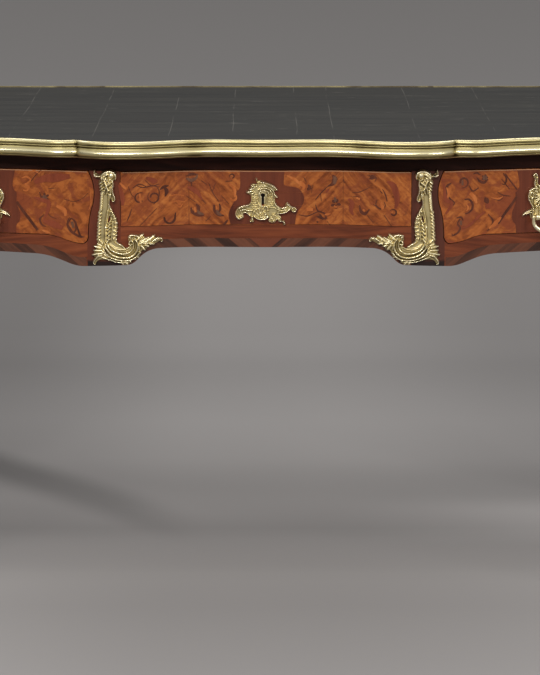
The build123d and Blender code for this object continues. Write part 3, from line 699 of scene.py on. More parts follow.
def leaf_style(q, side, s, pitch):
    dome = 0.6 * np.sqrt(np.clip(1 - q ** 2, 0, 1)) + 0.4 * (1 - q)
    vein = 0.34 * np.exp(-(q / 0.13) ** 2)
    ribs = 0.15 * np.sin(2 * math.pi * (s / pitch + q * 0.8)) * np.clip(q * 4, 0, 1) * (1 - q)
    return dome + ribs - vein


def channel_style(q, side, s, pitch):
    bank = 0.42 + 0.58 * np.clip((q - 0.42) / 0.3, 0, 1) ** 1.5
    return bank * np.sqrt(np.clip(1 - q ** 6, 0, 1))


def reeded_style(q, side, s, pitch):
    rods = np.abs(np.cos(1.5 * math.pi * side * q)) ** 0.6
    return (0.45 + 0.55 * rods) * np.sqrt(np.clip(1 - q ** 2.5, 0, 1))


styles = {"round": round_style, "leaf": leaf_style, "channel": channel_style, "reeded": reeded_style}


def with_radii(points, radii):
    """A path's places, each with a radius."""
    return np.concatenate([np.asarray(points, float)[:, :2], np.asarray(radii, float)[:, None]], axis=1)


class Relief:
    """A flat height field in metres. outside is the distance to the casting's outline, minus inside."""

    def __init__(self, low, high, cell):
        self.cell = cell
        across = np.arange(low[0], high[0] + cell, cell)
        up = np.arange(low[1], high[1] + cell, cell)
        self.u, self.v = np.meshgrid(across, up)
        self.height = np.zeros_like(self.u)
        self.outside = np.full_like(self.u, 1.0)

    def window(self, path, reach):
        """The part of the grid that a stroke can touch."""
        low = path[:, :2].min(axis=0) - reach
        high = path[:, :2].max(axis=0) + reach
        columns = np.searchsorted(self.u[0], [low[0], high[0]])
        rows = np.searchsorted(self.v[:, 0], [low[1], high[1]])
        return slice(*rows), slice(*columns)

    def measure(self, path, here):
        """For each cell: distance beyond the stroke's edge, q, side and s at the nearest point."""
        u, v = self.u[here].ravel(), self.v[here].ravel()
        best = np.full(u.shape, 1e9)
        nearest = np.zeros(u.shape, int)
        for index, (x, z, radius) in enumerate(path):
            beyond = np.hypot(u - x, v - z) - radius
            closer = beyond < best
            best[closer] = beyond[closer]
            nearest[closer] = index
        du, dv = u - path[nearest, 0], v - path[nearest, 1]
        tangent = headings(path)[nearest]
        side = np.sign(tangent[:, 0] * dv - tangent[:, 1] * du)
        along = tangent[:, 0] * du + tangent[:, 1] * dv
        q = np.hypot(du, dv) / np.maximum(path[nearest, 2], 1e-6)
        return best, q, side, travelled(path)[nearest] + along

    def stroke(self, points, height, style="round", teeth=0.0, pitch=0.005):
        """Raises the casting along a path. teeth is the share of the radius that its edge is cut by."""
        path = smooth_path(points, self.cell)
        path[:, 2] = np.maximum(path[:, 2], self.cell * 0.9)
        here = self.window(path, path[:, 2].max() + 2 * self.cell)
        beyond, q, side, s = self.measure(path, here)
        if teeth:
            saw = (s / pitch + q * 0.35) % 1.0
            notch = 1 - teeth * saw * np.clip(q * 2.2, 0, 1)
            beyond = beyond + (1 - notch) * path[:, 2].mean()
            q = q / notch
        rise = height * styles[style](np.clip(q, 0, 1), side, s, pitch)
        shape = self.height[here].shape
        self.outside[here] = np.minimum(self.outside[here], beyond.reshape(shape))
        rise = np.where(beyond < self.cell, rise, 0).reshape(shape)
        self.height[here] = np.maximum(self.height[here], rise)

    def fill(self, outline, height, rounding):
        """A thin plate inside a closed outline, with its edge rounded down."""
        outline = np.asarray(outline, float)
        closed = smooth_path(np.concatenate([outline, outline[:1]]), self.cell * 3)
        u, v = self.u.ravel(), self.v.ravel()
        nearest = np.full(u.shape, 1e9)
        inside = np.zeros(u.shape, bool)
        for (x0, z0), (x1, z1) in zip(closed[:-1], closed[1:]):
            length = max((x1 - x0) ** 2 + (z1 - z0) ** 2, 1e-18)
            share = np.clip(((u - x0) * (x1 - x0) + (v - z0) * (z1 - z0)) / length, 0, 1)
            away = np.hypot(u - x0 - share * (x1 - x0), v - z0 - share * (z1 - z0))
            nearest = np.minimum(nearest, away)
            if z0 != z1:
                crossing = (z0 > v) != (z1 > v)
                inside ^= crossing & (u < x0 + (v - z0) * (x1 - x0) / (z1 - z0))
        beyond = np.where(inside, -nearest, nearest).reshape(self.u.shape)
        self.outside = np.minimum(self.outside, beyond)
        depth = np.clip(-beyond / rounding, 0, 1)
        self.height = np.maximum(self.height, height * np.sqrt(1 - (1 - depth) ** 2) * (beyond < 0))

    def ball(self, centre, radius, height):
        """A round boss: a stroke that hardly moves."""
        across, up = centre[:2]
        self.stroke([(across - radius * 0.02, up, radius), (across + radius * 0.02, up, radius)], height)

    def groove(self, points, depth, radii):
        """A chased line that lowers what is there."""
        path = smooth_path(with_radii(points, radii), self.cell)
        here = self.window(path, path[:, 2].max() + 2 * self.cell)
        beyond, q, side, s = self.measure(path, here)
        sunk = depth * np.clip(1 - q ** 2, 0, 1)
        self.height[here] = np.maximum(self.height[here] - sunk.reshape(self.height[here].shape), 0.0004)

    def hole(self, points, radii):
        """An opening right through the casting."""
        path = smooth_path(with_radii(points, radii), self.cell)
        here = self.window(path, path[:, 2].max() + 3 * self.cell)
        beyond = self.measure(path, here)[0].reshape(self.height[here].shape)
        self.outside[here] = np.maximum(self.outside[here], -beyond)

    def blurred(self, rounds):
        """The height field averaged with its neighbours a number of times."""
        soft = np.where(self.outside < 0, self.height, 0)
        for _ in range(rounds):
            pad = np.pad(soft, 1, mode="edge")
            sides = pad[:-2, 1:-1] + pad[2:, 1:-1] + pad[1:-1, :-2] + pad[1:-1, 2:]
            soft = (pad[1:-1, 1:-1] * 2 + sides) / 6
        return soft

    def soften(self, reach, share):
        """Fills the gaps between strokes, as wax would, and takes the sharpness off."""
        rounds = max(1, int((reach / self.cell) ** 2))
        self.height = np.maximum(self.height, share * self.blurred(rounds))
        self.height = np.where(self.outside < 0, 0.45 * self.height + 0.55 * self.blurred(1), 0)

    def worn(self):
        """How much each place stands above its surroundings: 0 in hollows, 1 on ridges."""
        # from this the bronze paints shade in the hollows and highlights on the ridges, along with wear
        total = np.where(self.outside < 0, self.height, 0)
        blurred = self.blurred(7)
        top = max(float(total.max()), 1e-6)
        return np.clip(0.38 + 3.4 * (total - blurred) / top + 0.42 * (total / top - 0.45), 0, 1)

    def mesh(self, place, sink=0.0006):
        """Points, faces and wear-and-shade values of the casting wrapped onto a surface by place(u, v,
        lift).
        """
        inside = self.outside < 0
        cells = inside[:-1, :-1] | inside[:-1, 1:] | inside[1:, :-1] | inside[1:, 1:]
        slope_v, slope_u = np.gradient(self.outside, self.cell)
        steep = np.maximum(np.hypot(slope_u, slope_v), 0.5)
        away = np.clip(self.outside, 0, self.cell * 1.2)
        u = self.u - np.where(inside, 0, away * slope_u / steep ** 2)
        v = self.v - np.where(inside, 0, away * slope_v / steep ** 2)
        lift = np.where(inside, np.maximum(self.height, 0.0005), -sink)
        rows, columns = np.nonzero(cells)
        wide = self.u.shape[1]
        corner = rows * wide + columns
        quads = np.stack([corner, corner + 1, corner + wide + 1, corner + wide], axis=1)
        used, faces = np.unique(quads, return_inverse=True)
        points = place(u.ravel()[used], v.ravel()[used], lift.ravel()[used])
        return points, faces.reshape(-1, 4), self.worn().ravel()[used]


def mark_wear_and_shade(piece, worn):
    """Writes how rubbed and how shaded each point is, for the bronze to read."""
    layer = piece.data.attributes.new("worn", "FLOAT", "POINT")
    layer.data.foreach_set("value", np.asarray(worn, np.float32))


def add_casting(name, relief, place, body, flip=False):
    """A relief as a bronze piece. flip turns its faces over where place mirrors it."""
    points, faces, worn = relief.mesh(place)
    if flip:
        faces = faces[:, ::-1]
    piece = add_piece(name, points, faces.tolist(), bronze, body)
    mark_wear_and_shade(piece, worn)
    return piece


print("styles of stroke:", ", ".join(styles))

# %% [markdown]
# ## The kneehole mounts
# One casting frames the knee space at each side of the middle drawer: a volute under the top, leaves
# down the stile, a C-scroll where the drawer ends, and a leafy spray along the apron. Its strokes are
# written in millimetres from the drawer's upper corner: outwards, and up.
# %% Kneehole mounts
drawer_edge = 0.229
drawer_top = 0.727
kneehole_zero = (52.8, 10.58, 0)
kneehole_square = (-0.1131, -0.1139, 0.113)
kneehole_paper = paper(kneehole_zero, kneehole_square)
kneehole_outline = """
    88,92 104,66 120,98 165,124 195,103 232,76 300,66 368,76 403,110 410,165 388,196 372,230 362,300
    374,350 376,400 394,450 378,504 345,500 322,476 316,556 330,606 352,648 386,690 410,740 420,800
    424,870 412,930 414,985 402,1020 414,1056 440,1096 484,1108 524,1146 560,1146 586,1110 566,1050
    566,992 620,957 700,962 772,950 786,986 846,1000 902,972 938,972 950,1002 1000,1002 1046,1022
    1048,1066 1012,1062 960,1086 900,1112 850,1132 806,1184 766,1186 742,1216 716,1284 650,1308 604,1332
    566,1384 486,1384 440,1352 330,1342 210,1322 136,1340 104,1392 70,1376 72,1320 96,1290 56,1256
    84,1232 80,1190 118,1176 84,1130 122,1106 124,1050 134,1000 124,950 136,900 122,840 136,780 143,700
    164,640 160,590 184,540 180,470 188,400 172,330 165,270 154,240 172,190 108,160 92,130
"""


def carve_kneehole():
    relief = Relief((-0.069, -0.152), (0.0475, 0.005), cell=0.0005)
    relief.fill(kneehole_paper(kneehole_outline), height=0.0030, rounding=0.0016)

    def add(height, drawn, style="round", pitch=0.005):
        relief.stroke(kneehole_paper(drawn), height * mm, style, pitch=pitch)

    def lobes(height, drawn):
        """Small leaf tips. Each is written as its root, its point and its half width."""
        for a, b, c, d, half in places(drawn):
            waist = ((a * 2 + c * 3) / 5, (b * 2 + d * 3) / 5, half * 1.25)
            add(height, [(a, b, half), waist, (c, d, half * 0.6)])

    # the channel down the stem and the rib beside it
    add(3.4, "248,380,40 240,500,42 226,650,46 208,760,46 196,900,46 196,1060,44", "channel")
    add(6.0, "302,400,12 300,560,14 272,700,15 256,820,15 250,950,13 252,1050,12")
    # feathered outer edge of the stem: fine tips, then broader ones
    for index in range(10):
        b = 396 + index * 25
        a = 193 - 2.2 * index
        lobes(6.4, [(a + 26, b - 14, a - 10, b + 10, 11)])
    for index in range(9):
        b = 650 + index * 47
        a = 158 - 3.2 * index
        lobes(6.2, [(a + 30, b - 22, a - 8, b + 16, 17)])
    add(5.4, "196,390,9 190,520,10 172,640,12 160,760,13 150,900,13 150,1080,13")
    # the second leaf
    add(5.4, "312,566,10 336,632,16 372,706,22 392,786,28 390,862,32 368,950,34 372,1030,28 "
        "412,1092,12", "leaf", pitch=0.006)
    add(5.6, "352,800,14 350,880,16 336,960,14 330,1050,12")
    lobes(7.0, "318,648,352,626,12 338,696,372,672,13 362,742,404,728,13 376,800,420,796,12 "
        "384,858,424,864,12 386,912,414,926,11 376,964,416,972,13 388,1012,408,1038,11 "
        "398,1060,436,1096,12 436,1092,480,1112,11 478,1112,520,1150,10")
    lobes(7.2, "330,756,296,812,13 316,820,280,862,13 306,872,274,912,13 300,926,268,968,13 "
        "302,976,266,1030,14 300,1030,262,1080,14")
    relief.hole(kneehole_paper("312,712 306,744 292,786"), [0.0008, 0.0014, 0.0008])
    # leaves under the volute
    add(7.4, "236,214,16 258,262,17 276,318,16 300,352,9")
    add(7.0, "300,226,14 286,268,15 262,300,15 240,352,12 236,400,7")
    add(7.6, "352,206,15 362,256,17 350,312,18 356,372,16 372,420,14 386,462,13 372,496,12 348,492,8")
    add(6.8, "318,300,12 322,350,15 318,400,13 306,440,8")
    lobes(7.0, "206,226,164,262,14 212,268,172,308,14 214,312,176,352,13 220,350,184,392,12 "
        "286,196,266,236,13 330,232,296,276,13 336,280,372,292,11 286,344,270,400,11 "
        "330,400,320,452,10")
    # the volute that carries the top, with a knob and a spike behind it
    add(9.0, "206,196,16 196,158,20 216,120,24 262,92,27 320,82,28 372,98,26 400,140,22 396,184,14")
    knob = kneehole_paper("332,134")[0]
    relief.ball(knob, radius=0.0062, height=0.0098)
    add(9.4, "214,176,16 240,140,22 276,118,26")
    add(7.6, "224,176,13 246,196,16 272,188,11")
    add(6.6, "318,150,10 316,190,13 344,206,9")
    add(7.6, "168,150,15 132,152,22 106,144,22 98,118,13 104,78,12 110,72,10")
    # the C-scroll: three reeds round a hollow
    add(8.4, "268,1066,15 282,1116,18 330,1176,18 400,1212,18 480,1228,18 560,1216,17 616,1178,15 "
        "640,1120,14 634,1060,12 604,1032,10")
    add(8.8, "246,1110,14 272,1176,17 336,1238,18 420,1274,18 520,1284,18 606,1266,18 668,1216,18 "
        "700,1150,17 700,1080,15 668,1030,14")
    add(7.6, "226,1166,12 250,1230,14 320,1284,14 420,1316,14 520,1326,14 610,1312,14 680,1270,13 "
        "724,1212,11")
    add(5.6, "318,1108,12 372,1152,15 452,1172,14 530,1164,12 572,1140,8")
    add(7.4, "604,1044,13 580,1072,15 590,1104,14 616,1098,10")
    add(5.8, "196,1286,11 280,1310,11 380,1342,11 470,1356,11 560,1350,8")
    chased = kneehole_paper("250,1262 330,1318 430,1340 560,1336")
    relief.groove(chased, 0.0030, [0.0005, 0.0006, 0.0006, 0.0005])
    # the hood over the scroll's right end
    add(7.0, "600,1010,15 580,990,18 606,972,18 660,972,18 706,990,16 726,1040,14")
    add(6.6, "660,1010,14 690,1050,16 716,1110,16 726,1170,12")
    # the spray
    add(4.6, "716,1084,26 800,1082,32 880,1068,28 960,1050,20 1010,1040,12")
    lobes(7.4, "704,1024,776,954,20 738,1058,848,1002,18 812,1066,936,976,21 900,1062,990,1004,15 "
        "730,1090,800,1050,14 752,1118,800,1176,22 806,1112,858,1128,16 870,1092,934,1094,14 "
        "772,1080,850,1086,14")
    add(6.6, "964,1044,13 1004,1018,15 1036,1026,15 1042,1058,12 1024,1066,8")
    # leaf bunch at the foot of the stem, and the tail
    lobes(6.8, "196,1120,132,1096,17 180,1150,84,1130,17 190,1190,80,1188,17 200,1226,58,1252,18 "
        "236,1200,206,1140,15 250,1240,196,1196,14 284,1276,220,1240,13 200,1256,120,1280,14 "
        "160,1040,210,1090,13")
    add(6.4, "150,1270,16 110,1306,17 82,1346,15 80,1376,13 100,1388,10")
    # teeth under the scroll
    lobes(6.0, "470,1344,500,1384,12 520,1340,562,1384,13 580,1326,606,1350,11 634,1296,672,1304,13 "
        "680,1268,716,1282,13 716,1222,744,1216,12")
    relief.soften(reach=0.0016, share=0.96)
    return relief


kneehole = carve_kneehole()
for side_name, sign in sides:
    for end_name, wrap in (("front", on_front), ("back", on_back)):

        def place_kneehole(u, v, lift, sign=sign, wrap=wrap):
            return wrap(sign * (drawer_edge + u), drawer_top + v, lift)

        turned = (sign < 0) != (end_name == "back")
        name = f"{end_name}_kneehole_casting_{side_name}"
        piece = add_casting(name, kneehole, place_kneehole, "carcass", turned)
        if end_name == "front":
            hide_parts(f"kneehole_mount_{side_name}")
        elif side_name == "left":
            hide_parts("kneehole_mounts_back")
print("kneehole casting faces:", len(piece.data.polygons))

# %% [markdown]
# ## The escutcheon
# The keyhole sits in a lopsided shell, as rococo castings do: an arching crest, a big scroll on the
# left and a trailing leafy arm on the right. Its opening is cut right through, and the real keyhole
# of the drawer front shows behind it.
# %% Escutcheon
key_x, key_z = -0.005, 0.682
escutcheon_zero = (-55.15, 42.8, 0)
escutcheon_square = (0.08332, -0.08395, 0.0835)
escutcheon_paper = paper(escutcheon_zero, escutcheon_square)
escutcheon_outline = """
    522,98 556,112 572,158 624,150 722,172 824,208 904,270 948,332 930,352 884,352 908,410 952,462
    920,492 892,486 902,544 934,612 984,650 1040,660 1080,640 1092,590 1122,562 1164,590 1204,640
    1270,652 1312,700 1282,752 1222,762 1186,722 1160,722 1092,772 1012,794 962,794 1002,838 1022,882
    1004,912 1062,910 1092,960 1066,1006 1044,992 1046,956 1000,934 930,912 884,962 800,956 758,922
    776,860 700,896 600,902 530,866 492,828 502,900 482,948 420,948 402,912 436,870 444,826 418,842
    376,798 322,776 292,796 302,852 262,892 214,908 150,864 128,780 148,700 210,640 300,624 380,600
    428,540 438,480 408,420 342,396 348,350 388,344 388,300 428,280 428,230 480,210 538,220 544,180
    508,140
"""


def cut_keyhole(relief, eye, slot_top, slot_foot):
    """A round eye over a slot that widens downwards."""
    relief.hole([(0.0, 0.0060), (0.0, 0.0062)], [eye, eye])
    relief.hole([(0.0, 0.0050), (0.0, -0.0085)], [slot_top, slot_foot])


def carve_escutcheon():
    relief = Relief((-0.046, -0.043), (0.0555, 0.036), cell=0.0004)
    relief.fill(escutcheon_paper(escutcheon_outline), height=0.0030, rounding=0.0013)

    def add(height, drawn):
        relief.stroke(escutcheon_paper(drawn), height * mm)

    def balls(height, drawn):
        for place in escutcheon_paper(drawn):
            relief.ball(place, place[2], height * mm)

    # crest: a bright rim over a hollow, and two arches inside it
    add(7.8, "612,186,14 704,192,17 802,226,18 884,278,17 938,334,11")
    add(5.4, "592,262,11 700,256,13 796,290,13 860,350,12 884,420,9")
    add(6.4, "560,330,12 640,300,14 730,300,14 806,340,14 850,420,12 858,500,9")
    add(6.2, "566,420,12 600,366,14 660,344,15 730,352,15 776,396,13 790,460,10")
    add(6.6, "884,420,12 912,452,20 936,466,12")
    # the lobes at the upper left
    crest_lobes = """
        512,262,436,246,19 500,296,398,322,19 470,352,352,376,18 500,380,430,420,15 540,232,500,214,14
    """
    for a, b, c, d, half in places(crest_lobes):
        waist = ((2 * a + 3 * c) / 5, (2 * b + 3 * d) / 5, half)
        add(6.6, [(a, b, half * 0.8), waist, (c, d, half * 0.5)])
    add(6.6, "540,250,12 500,280,14 450,320,13 420,360,10")
    balls(7.2, "540,124,24 556,176,14 582,216,16")
    # the smooth field round the keyhole, and its two edges
    add(3.6, "656,390,52 656,470,66 652,560,60 640,640,50")
    add(6.0, "600,396,9 570,470,12 572,560,12 600,640,12 610,720,9")
    add(6.0, "716,396,9 742,470,12 736,560,12 716,616,10")
    # diapered cheeks: rows of small studs
    for row in range(8):
        for column in range(3):
            balls(5.4, [(462 + column * 36 + (row % 2) * 18, 430 + row * 38, 13)])
            balls(5.4, [(782 + column * 34 + (row % 2) * 16, 420 + row * 36, 12)])
    # the left scroll
    add(7.8, "446,470,12 440,560,16 384,618,18 284,642,18 196,680,19 150,762,19 164,838,18 212,878,17 "
        "252,858,14")
    add(6.8, "470,720,14 400,720,17 320,700,16 246,722,14 214,782,11")
    add(6.6, "292,752,12 344,758,15 388,790,15 422,830,9")
    balls(7.6, "236,846,27")
    add(6.2, "500,740,12 470,790,18 458,850,22 460,890,26")
    balls(7.4, "462,888,30 426,926,20")
    # shell at the foot, with its oval ring
    add(7.2, "500,838,14 560,876,18 640,890,18 720,878,17 764,836,13")
    add(7.0, "606,836,10 634,796,12 700,782,12 752,806,11 738,848,10 672,862,10 614,846,9")
    add(5.8, "530,700,12 540,760,15 580,810,12")
    add(5.8, "590,690,11 594,740,13 620,780,10")
    add(7.4, "676,668,14 716,636,18 752,660,16 758,700,14")
    add(6.6, "664,690,10 676,738,14 716,758,12")
    balls(7.8, "756,714,24")
    # the right arm
    add(7.4, "880,560,12 912,620,16 970,660,18 1044,676,19 1108,652,18 1130,600,15 1118,574,9")
    add(6.2, "1128,600,12 1176,640,16 1226,664,14")
    add(7.2, "936,766,10 1010,774,15 1084,758,16 1140,722,14 1180,690,10")
    add(5.4, "900,680,14 1000,720,16 1090,712,13")
    add(7.4, "1206,700,12 1226,668,14 1268,670,14 1292,706,14 1266,744,14 1222,736,12")
    add(6.4, "936,706,9 950,682,10 982,696,10 978,732,9 944,734,8")
    # flowers and a twig
    for a, b, size in ((868, 806, 40), (960, 876, 30), (836, 872, 26)):
        for petal in range(5):
            angle = 0.4 + petal * 2 * math.pi / 5
            out = size * 0.62
            balls(6.2, [(a + out * math.cos(angle), b + out * math.sin(angle), size * 0.42)])
        balls(7.0, [(a, b, size * 0.3)])
    balls(6.8, "798,924,24 868,924,26 918,868,18 996,884,20")
    add(5.6, "960,920,10 1020,924,12 1066,944,11 1078,976,9 1056,998,6")
    relief.soften(reach=0.0012, share=0.96)
    cut_keyhole(relief, 0.0033, 0.0017, 0.0021)
    return relief


escutcheon = carve_escutcheon()


def place_escutcheon(u, v, lift):
    return on_front(key_x + u, key_z + v, lift)


piece = add_casting("centre_escutcheon_casting", escutcheon, place_escutcheon, "drawer_centre")
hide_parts("centre_escutcheon")
print("escutcheon faces:", len(piece.data.polygons))

# %% [markdown]
# ## Handle plates
# Each side drawer has a symmetrical plate: a bud on a stem, a ribbed shell round the keyhole, and two
# leafy arms that end in the eyes the handle turns in. One half is drawn, and every stroke is repeated
# mirrored.
# %% Handle plates
plate_z = 0.682
plate_half = """
    0,30 8,27 14,22 22,17 30,17.5 35,21 36.5,27 36,33 38,37.5 42,39 45.5,37 44.5,33 43,29 43.5,24
    42.5,18.5 47,14 51.5,9 52.8,2 51.5,-5 48,-12 46,-16.5 51,-19.5 56,-22.5 60.5,-25.5 61.5,-30 57,-29.5
    52,-27 49,-28.5 48,-33 43,-36 37,-36.5 31.5,-33 31,-26 28,-19 20,-18 12,-21 6,-24 0,-22
"""


def carve_handle_plate():
    relief = Relief((-0.064, -0.039), (0.064, 0.041), cell=0.0004)
    half_outline = places(plate_half)
    mirrored = [(-a, b) for a, b in reversed(half_outline[1:-1])]
    relief.fill([(a * mm, b * mm) for a, b in half_outline + mirrored], height=0.0030, rounding=0.0013)

    def both(height, drawn):
        """The stroke and its mirror image, in millimetres."""
        for sign in (1, -1):
            relief.stroke([(sign * a * mm, b * mm, c * mm) for a, b, c in places(drawn)], height * mm)

    # a fan of ribs over the keyhole, between two scrolls
    for turn in range(4):
        angle = math.radians(10 + turn * 27)
        reach = 25 - 2.5 * turn
        out, up = math.sin(angle), math.cos(angle)
        rib = [(6 * out, 3 + 7 * up, 1.2), (0.7 * reach * out, 2 + 0.75 * reach * up, 2.1)]
        both(6.6, rib + [(0.92 * reach * out, 1 + reach * up, 1.7)])
    both(6.0, "4.6,7,0.9 6.2,1,1.1 5.4,-7,1.2 3.6,-13,1 0.2,-15.5,1")
    both(7.8, "9,24.5,1.5 16,19.5,2 20,11,2.2 20,1,2.2 16,-9,2.1 9,-15,1.9 3,-18,1.3")
    both(6.4, "13,14,1 15.5,7,1.4 15,-1,1.4 11,-8,1.2 6,-12,0.8")
    both(7.0, "2,-17,1.6 7,-21,2 12,-20.5,1.3")
    both(6.6, "0.2,-18,2.2 0.2,-21,1.7")
    both(7.4, "17,18.5,1.3 24,15.8,1.9 31,16.6,1.9 36,20,1.5")
    both(6.6, "14,-13,1.4 21,-15.5,1.9 28,-14.5,1.9 33,-10,1.4")
    both(5.6, "21,8,2.2 27,7,2.8 32,3,2.4")
    both(5.6, "21,0,2 26,-3,2.6 31,-6,2.2")
    # the outer body: a ribbed shell with a ring on its shoulder
    both(7.4, "37.5,14.5,1.5 43,14.6,1.9 48,11.5,2 51,5,2 50.6,-2,2 47.5,-9,2 44,-15,1.9")
    both(6.4, "44.6,9.5,1.1 47.6,6.5,1.4 48,1.5,1.4 45.6,-1.5,1.3 43.6,1.5,1.2 43.6,6.5,1.1")
    for turn in range(5):
        both(6.2, [(33, 4 - turn * 1.5, 1.0), (37.5, 8 - turn * 3.6, 1.5), (41, 11 - turn * 5.6, 1.3)])
    both(7.2, "34,12.5,1.4 31.5,5,1.9 32,-3,1.9 34.5,-10,1.8 37,-15,1.5")
    both(8.2, "41.4,-3.6,1.6 40.4,-9.6,2.2")
    both(8.2, "38.4,-13.6,2.4 38.2,-15.2,2.4")
    both(7.8, "43.2,-18,1.7 43.8,-23,2.4 44.2,-29,2.6 42,-34,1.7")
    # stem and curled bud over it
    both(7.4, "38.6,16.5,1.6 41.2,20,2.4 41.6,26,2.2 39.8,32,1.4")
    both(6.6, "38,24,1.2 37.2,30,1.6 37.8,35,1.6 40.6,37.6,1.6 43.6,36.4,1.5")
    both(7.6, "42.9,35.2,1.7 43.1,35.4,1.7")
    # the reeded leaf that sweeps out at the foot
    both(6.8, "46,-20,1.3 50.5,-21.4,1.8 56,-24.6,1.8 60,-28.4,1.2")
    both(6.6, "46.6,-24,1.3 50.5,-24.4,1.6 55,-26.6,1.4")
    both(7.0, "59.6,-26.8,1.7 60.6,-29,1.2")
    # a boss under each ear
    both(5.0, "37,-30,5.6 37.2,-30,5.6")
    both(6.2, "33,-17,1.6 33.2,-24,2 33,-31,1.8 36,-35,1.3")
    relief.soften(reach=0.0012, share=0.96)
    cut_keyhole(relief, 0.0032, 0.0016, 0.0020)
    return relief


handle_plate = carve_handle_plate()
for side_name, sign in sides:

    def place_plate(u, v, lift, sign=sign):
        return on_front(sign * (side_centre + u), plate_z + v, lift)

    name, body = f"{side_name}_handle_plate_casting", f"drawer_{side_name}"
    piece = add_casting(name, handle_plate, place_plate, body, sign < 0)
    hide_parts(f"{side_name}_drawer_handle_plate")
print("handle plate faces:", len(piece.data.polygons))

# %% [markdown]
# The handle's pivots turn in two ears that stand out from each plate. Seen from its end an ear is a
# ring with a neck that flares into the plate, so it is drawn as a distance from the pivot in every
# direction and given its width.
# %% Ears
ear_place = 0.037
ear_z = 0.652
ear_width = 0.006
ear_radius = 0.005
ear_round = 0.0007                 # how far its edges are rounded
pivot_hole = 0.0021
pivot_reach = 0.017
ear_points = 48
ear_angles = np.linspace(0, 2 * math.pi, ear_points, endpoint=False)


def ear_outline():
    """Distance from the pivot to the ear's outline; angle 0 points at the plate."""
    base = pivot_reach + 0.003
    steps = np.linspace(0, base, 400)
    neck = np.sqrt(np.clip(ear_radius ** 2 - steps ** 2, 0, None))
    flare = 0.0026 + 0.0044 * np.clip((steps - 0.006) / 0.011, 0, 1) ** 2
    half = np.maximum(neck, flare)
    reach = []
    for angle in ear_angles:
        if math.cos(angle) <= 0.05:
            reach.append(ear_radius)
            continue
        bound = half >= steps * abs(math.tan(angle))
        inside = steps[:np.argmin(bound)] if not bound.all() else steps
        reach.append(max(ear_radius, inside[-1] / math.cos(angle)))
    return np.array(reach)


def add_ear(name, x, body):
    outline = ear_outline()
    pivot_y = front_y(abs(x)) - pivot_reach
    half = ear_width / 2
    bore = np.full(ear_points, pivot_hole)
    full, rounded = outline + 0.0, outline - ear_round
    rings = ((-half, bore), (-half, rounded), (-half + ear_round, full))
    rings += ((half - ear_round, full), (half, rounded), (half, bore))
    points = []
    for across, radii in rings:
        for angle, radius in zip(ear_angles, radii):
            out, up = radius * math.cos(angle), radius * math.sin(angle)
            points.append((x + across, pivot_y + out, ear_z + up))
    faces = ring_faces(len(rings), ear_points, closed=True)
    add_piece(name, points, faces, plain_bronze, body)


for side_name, sign in sides:
    for ear_name, offset in (("inner", -ear_place), ("outer", ear_place)):
        ear_x = sign * (side_centre + offset)
        add_ear(f"{side_name}_handle_ear_{ear_name}", ear_x, f"drawer_{side_name}")
print("ears reach", pivot_reach * 1000, "mm out")

# %% [markdown]
# ## Pins
# Mounts are held by small pins whose domed heads stay in sight. Each head sits on the casting, at the
# height that the relief has there.
# %% Pins
pin_places = ((0.024, -0.010), (0.024, -0.088), (0.036, -0.132), (-0.046, -0.108))
pin_radius = 0.0012
pin_head = 0.0019
pin_length = 0.018


def relief_height(relief, u, v):
    column = int(round((u - relief.u[0, 0]) / relief.cell))
    row = int(round((v - relief.v[0, 0]) / relief.cell))
    return float(relief.height[row, column])


def lathe(profile, centre, axis_sign, count=20):
    """Points and faces of a turned piece; profile is (distance along Y, radius)."""
    points = []
    for along, radius in profile:
        for index in range(count):
            angle = 2 * math.pi * index / count
            across, up = radius * math.cos(angle), radius * math.sin(angle)
            points.append((centre[0] + across, centre[1] + axis_sign * along, centre[2] + up))
    faces = ring_faces(len(profile), count)
    last = (len(profile) - 1) * count
    faces.append(tuple(range(last, last + count)))
    faces.append(tuple(reversed(range(count))))
    return points, faces


pin_points, pin_faces = [], []
pin_profile = [(-0.0011, 0.0003), (-0.0010, 0.0008), (-0.0007, 0.0014), (-0.0002, pin_head)]
pin_profile += [(0.0002, pin_head), (0.0004, pin_radius), (pin_length, pin_radius)]
for u, v in pin_places:
    rise = relief_height(kneehole, u, v)
    for sign in (-1, 1):
        x = sign * (drawer_edge + u)
        for end in (1, -1):
            y = end * (front_y(x) - rise)
            points, faces = lathe(pin_profile, (x, y, drawer_top + v), end)
            start = len(pin_points)
            pin_points += points
            pin_faces += [tuple(start + index for index in face) for face in faces]
piece = add_piece("mount_pin_heads", pin_points, pin_faces, plain_bronze, "carcass")
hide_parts("mount_pins")
print("pins:", len(pin_places) * 4)

# %% [markdown]
# ## Corner mounts and shoes
# The knees of the legs carry a shell and a long leaf, and each foot has a bronze shoe. Both wrap a
# solid that bends two ways, so every point of the relief is found with its own ray. Only the front
# right one is wrapped; the others are its mirror images.
# %% Corner mounts
knee_middle = (0.715, -0.3256)     # x and y
diagonal = np.array((root_half, -root_half, 0))
sideways = np.array((root_half, root_half, 0))
knee_top = 0.722
leg_tree = tree_of("leg_front_right")


def on_knee(u, v, lift):
    """Rays along the corner's diagonal find the leg's surface."""
    wrapped = []
    for across, height, out in zip(u, v, lift):
        start = np.array((*knee_middle, knee_top + height)) + sideways * across
        found = probe(leg_tree, start + diagonal * 0.2, -diagonal)
        base = np.array(found) if found else start
        wrapped.append(base + diagonal * (out + 0.0004))
    return np.array(wrapped)


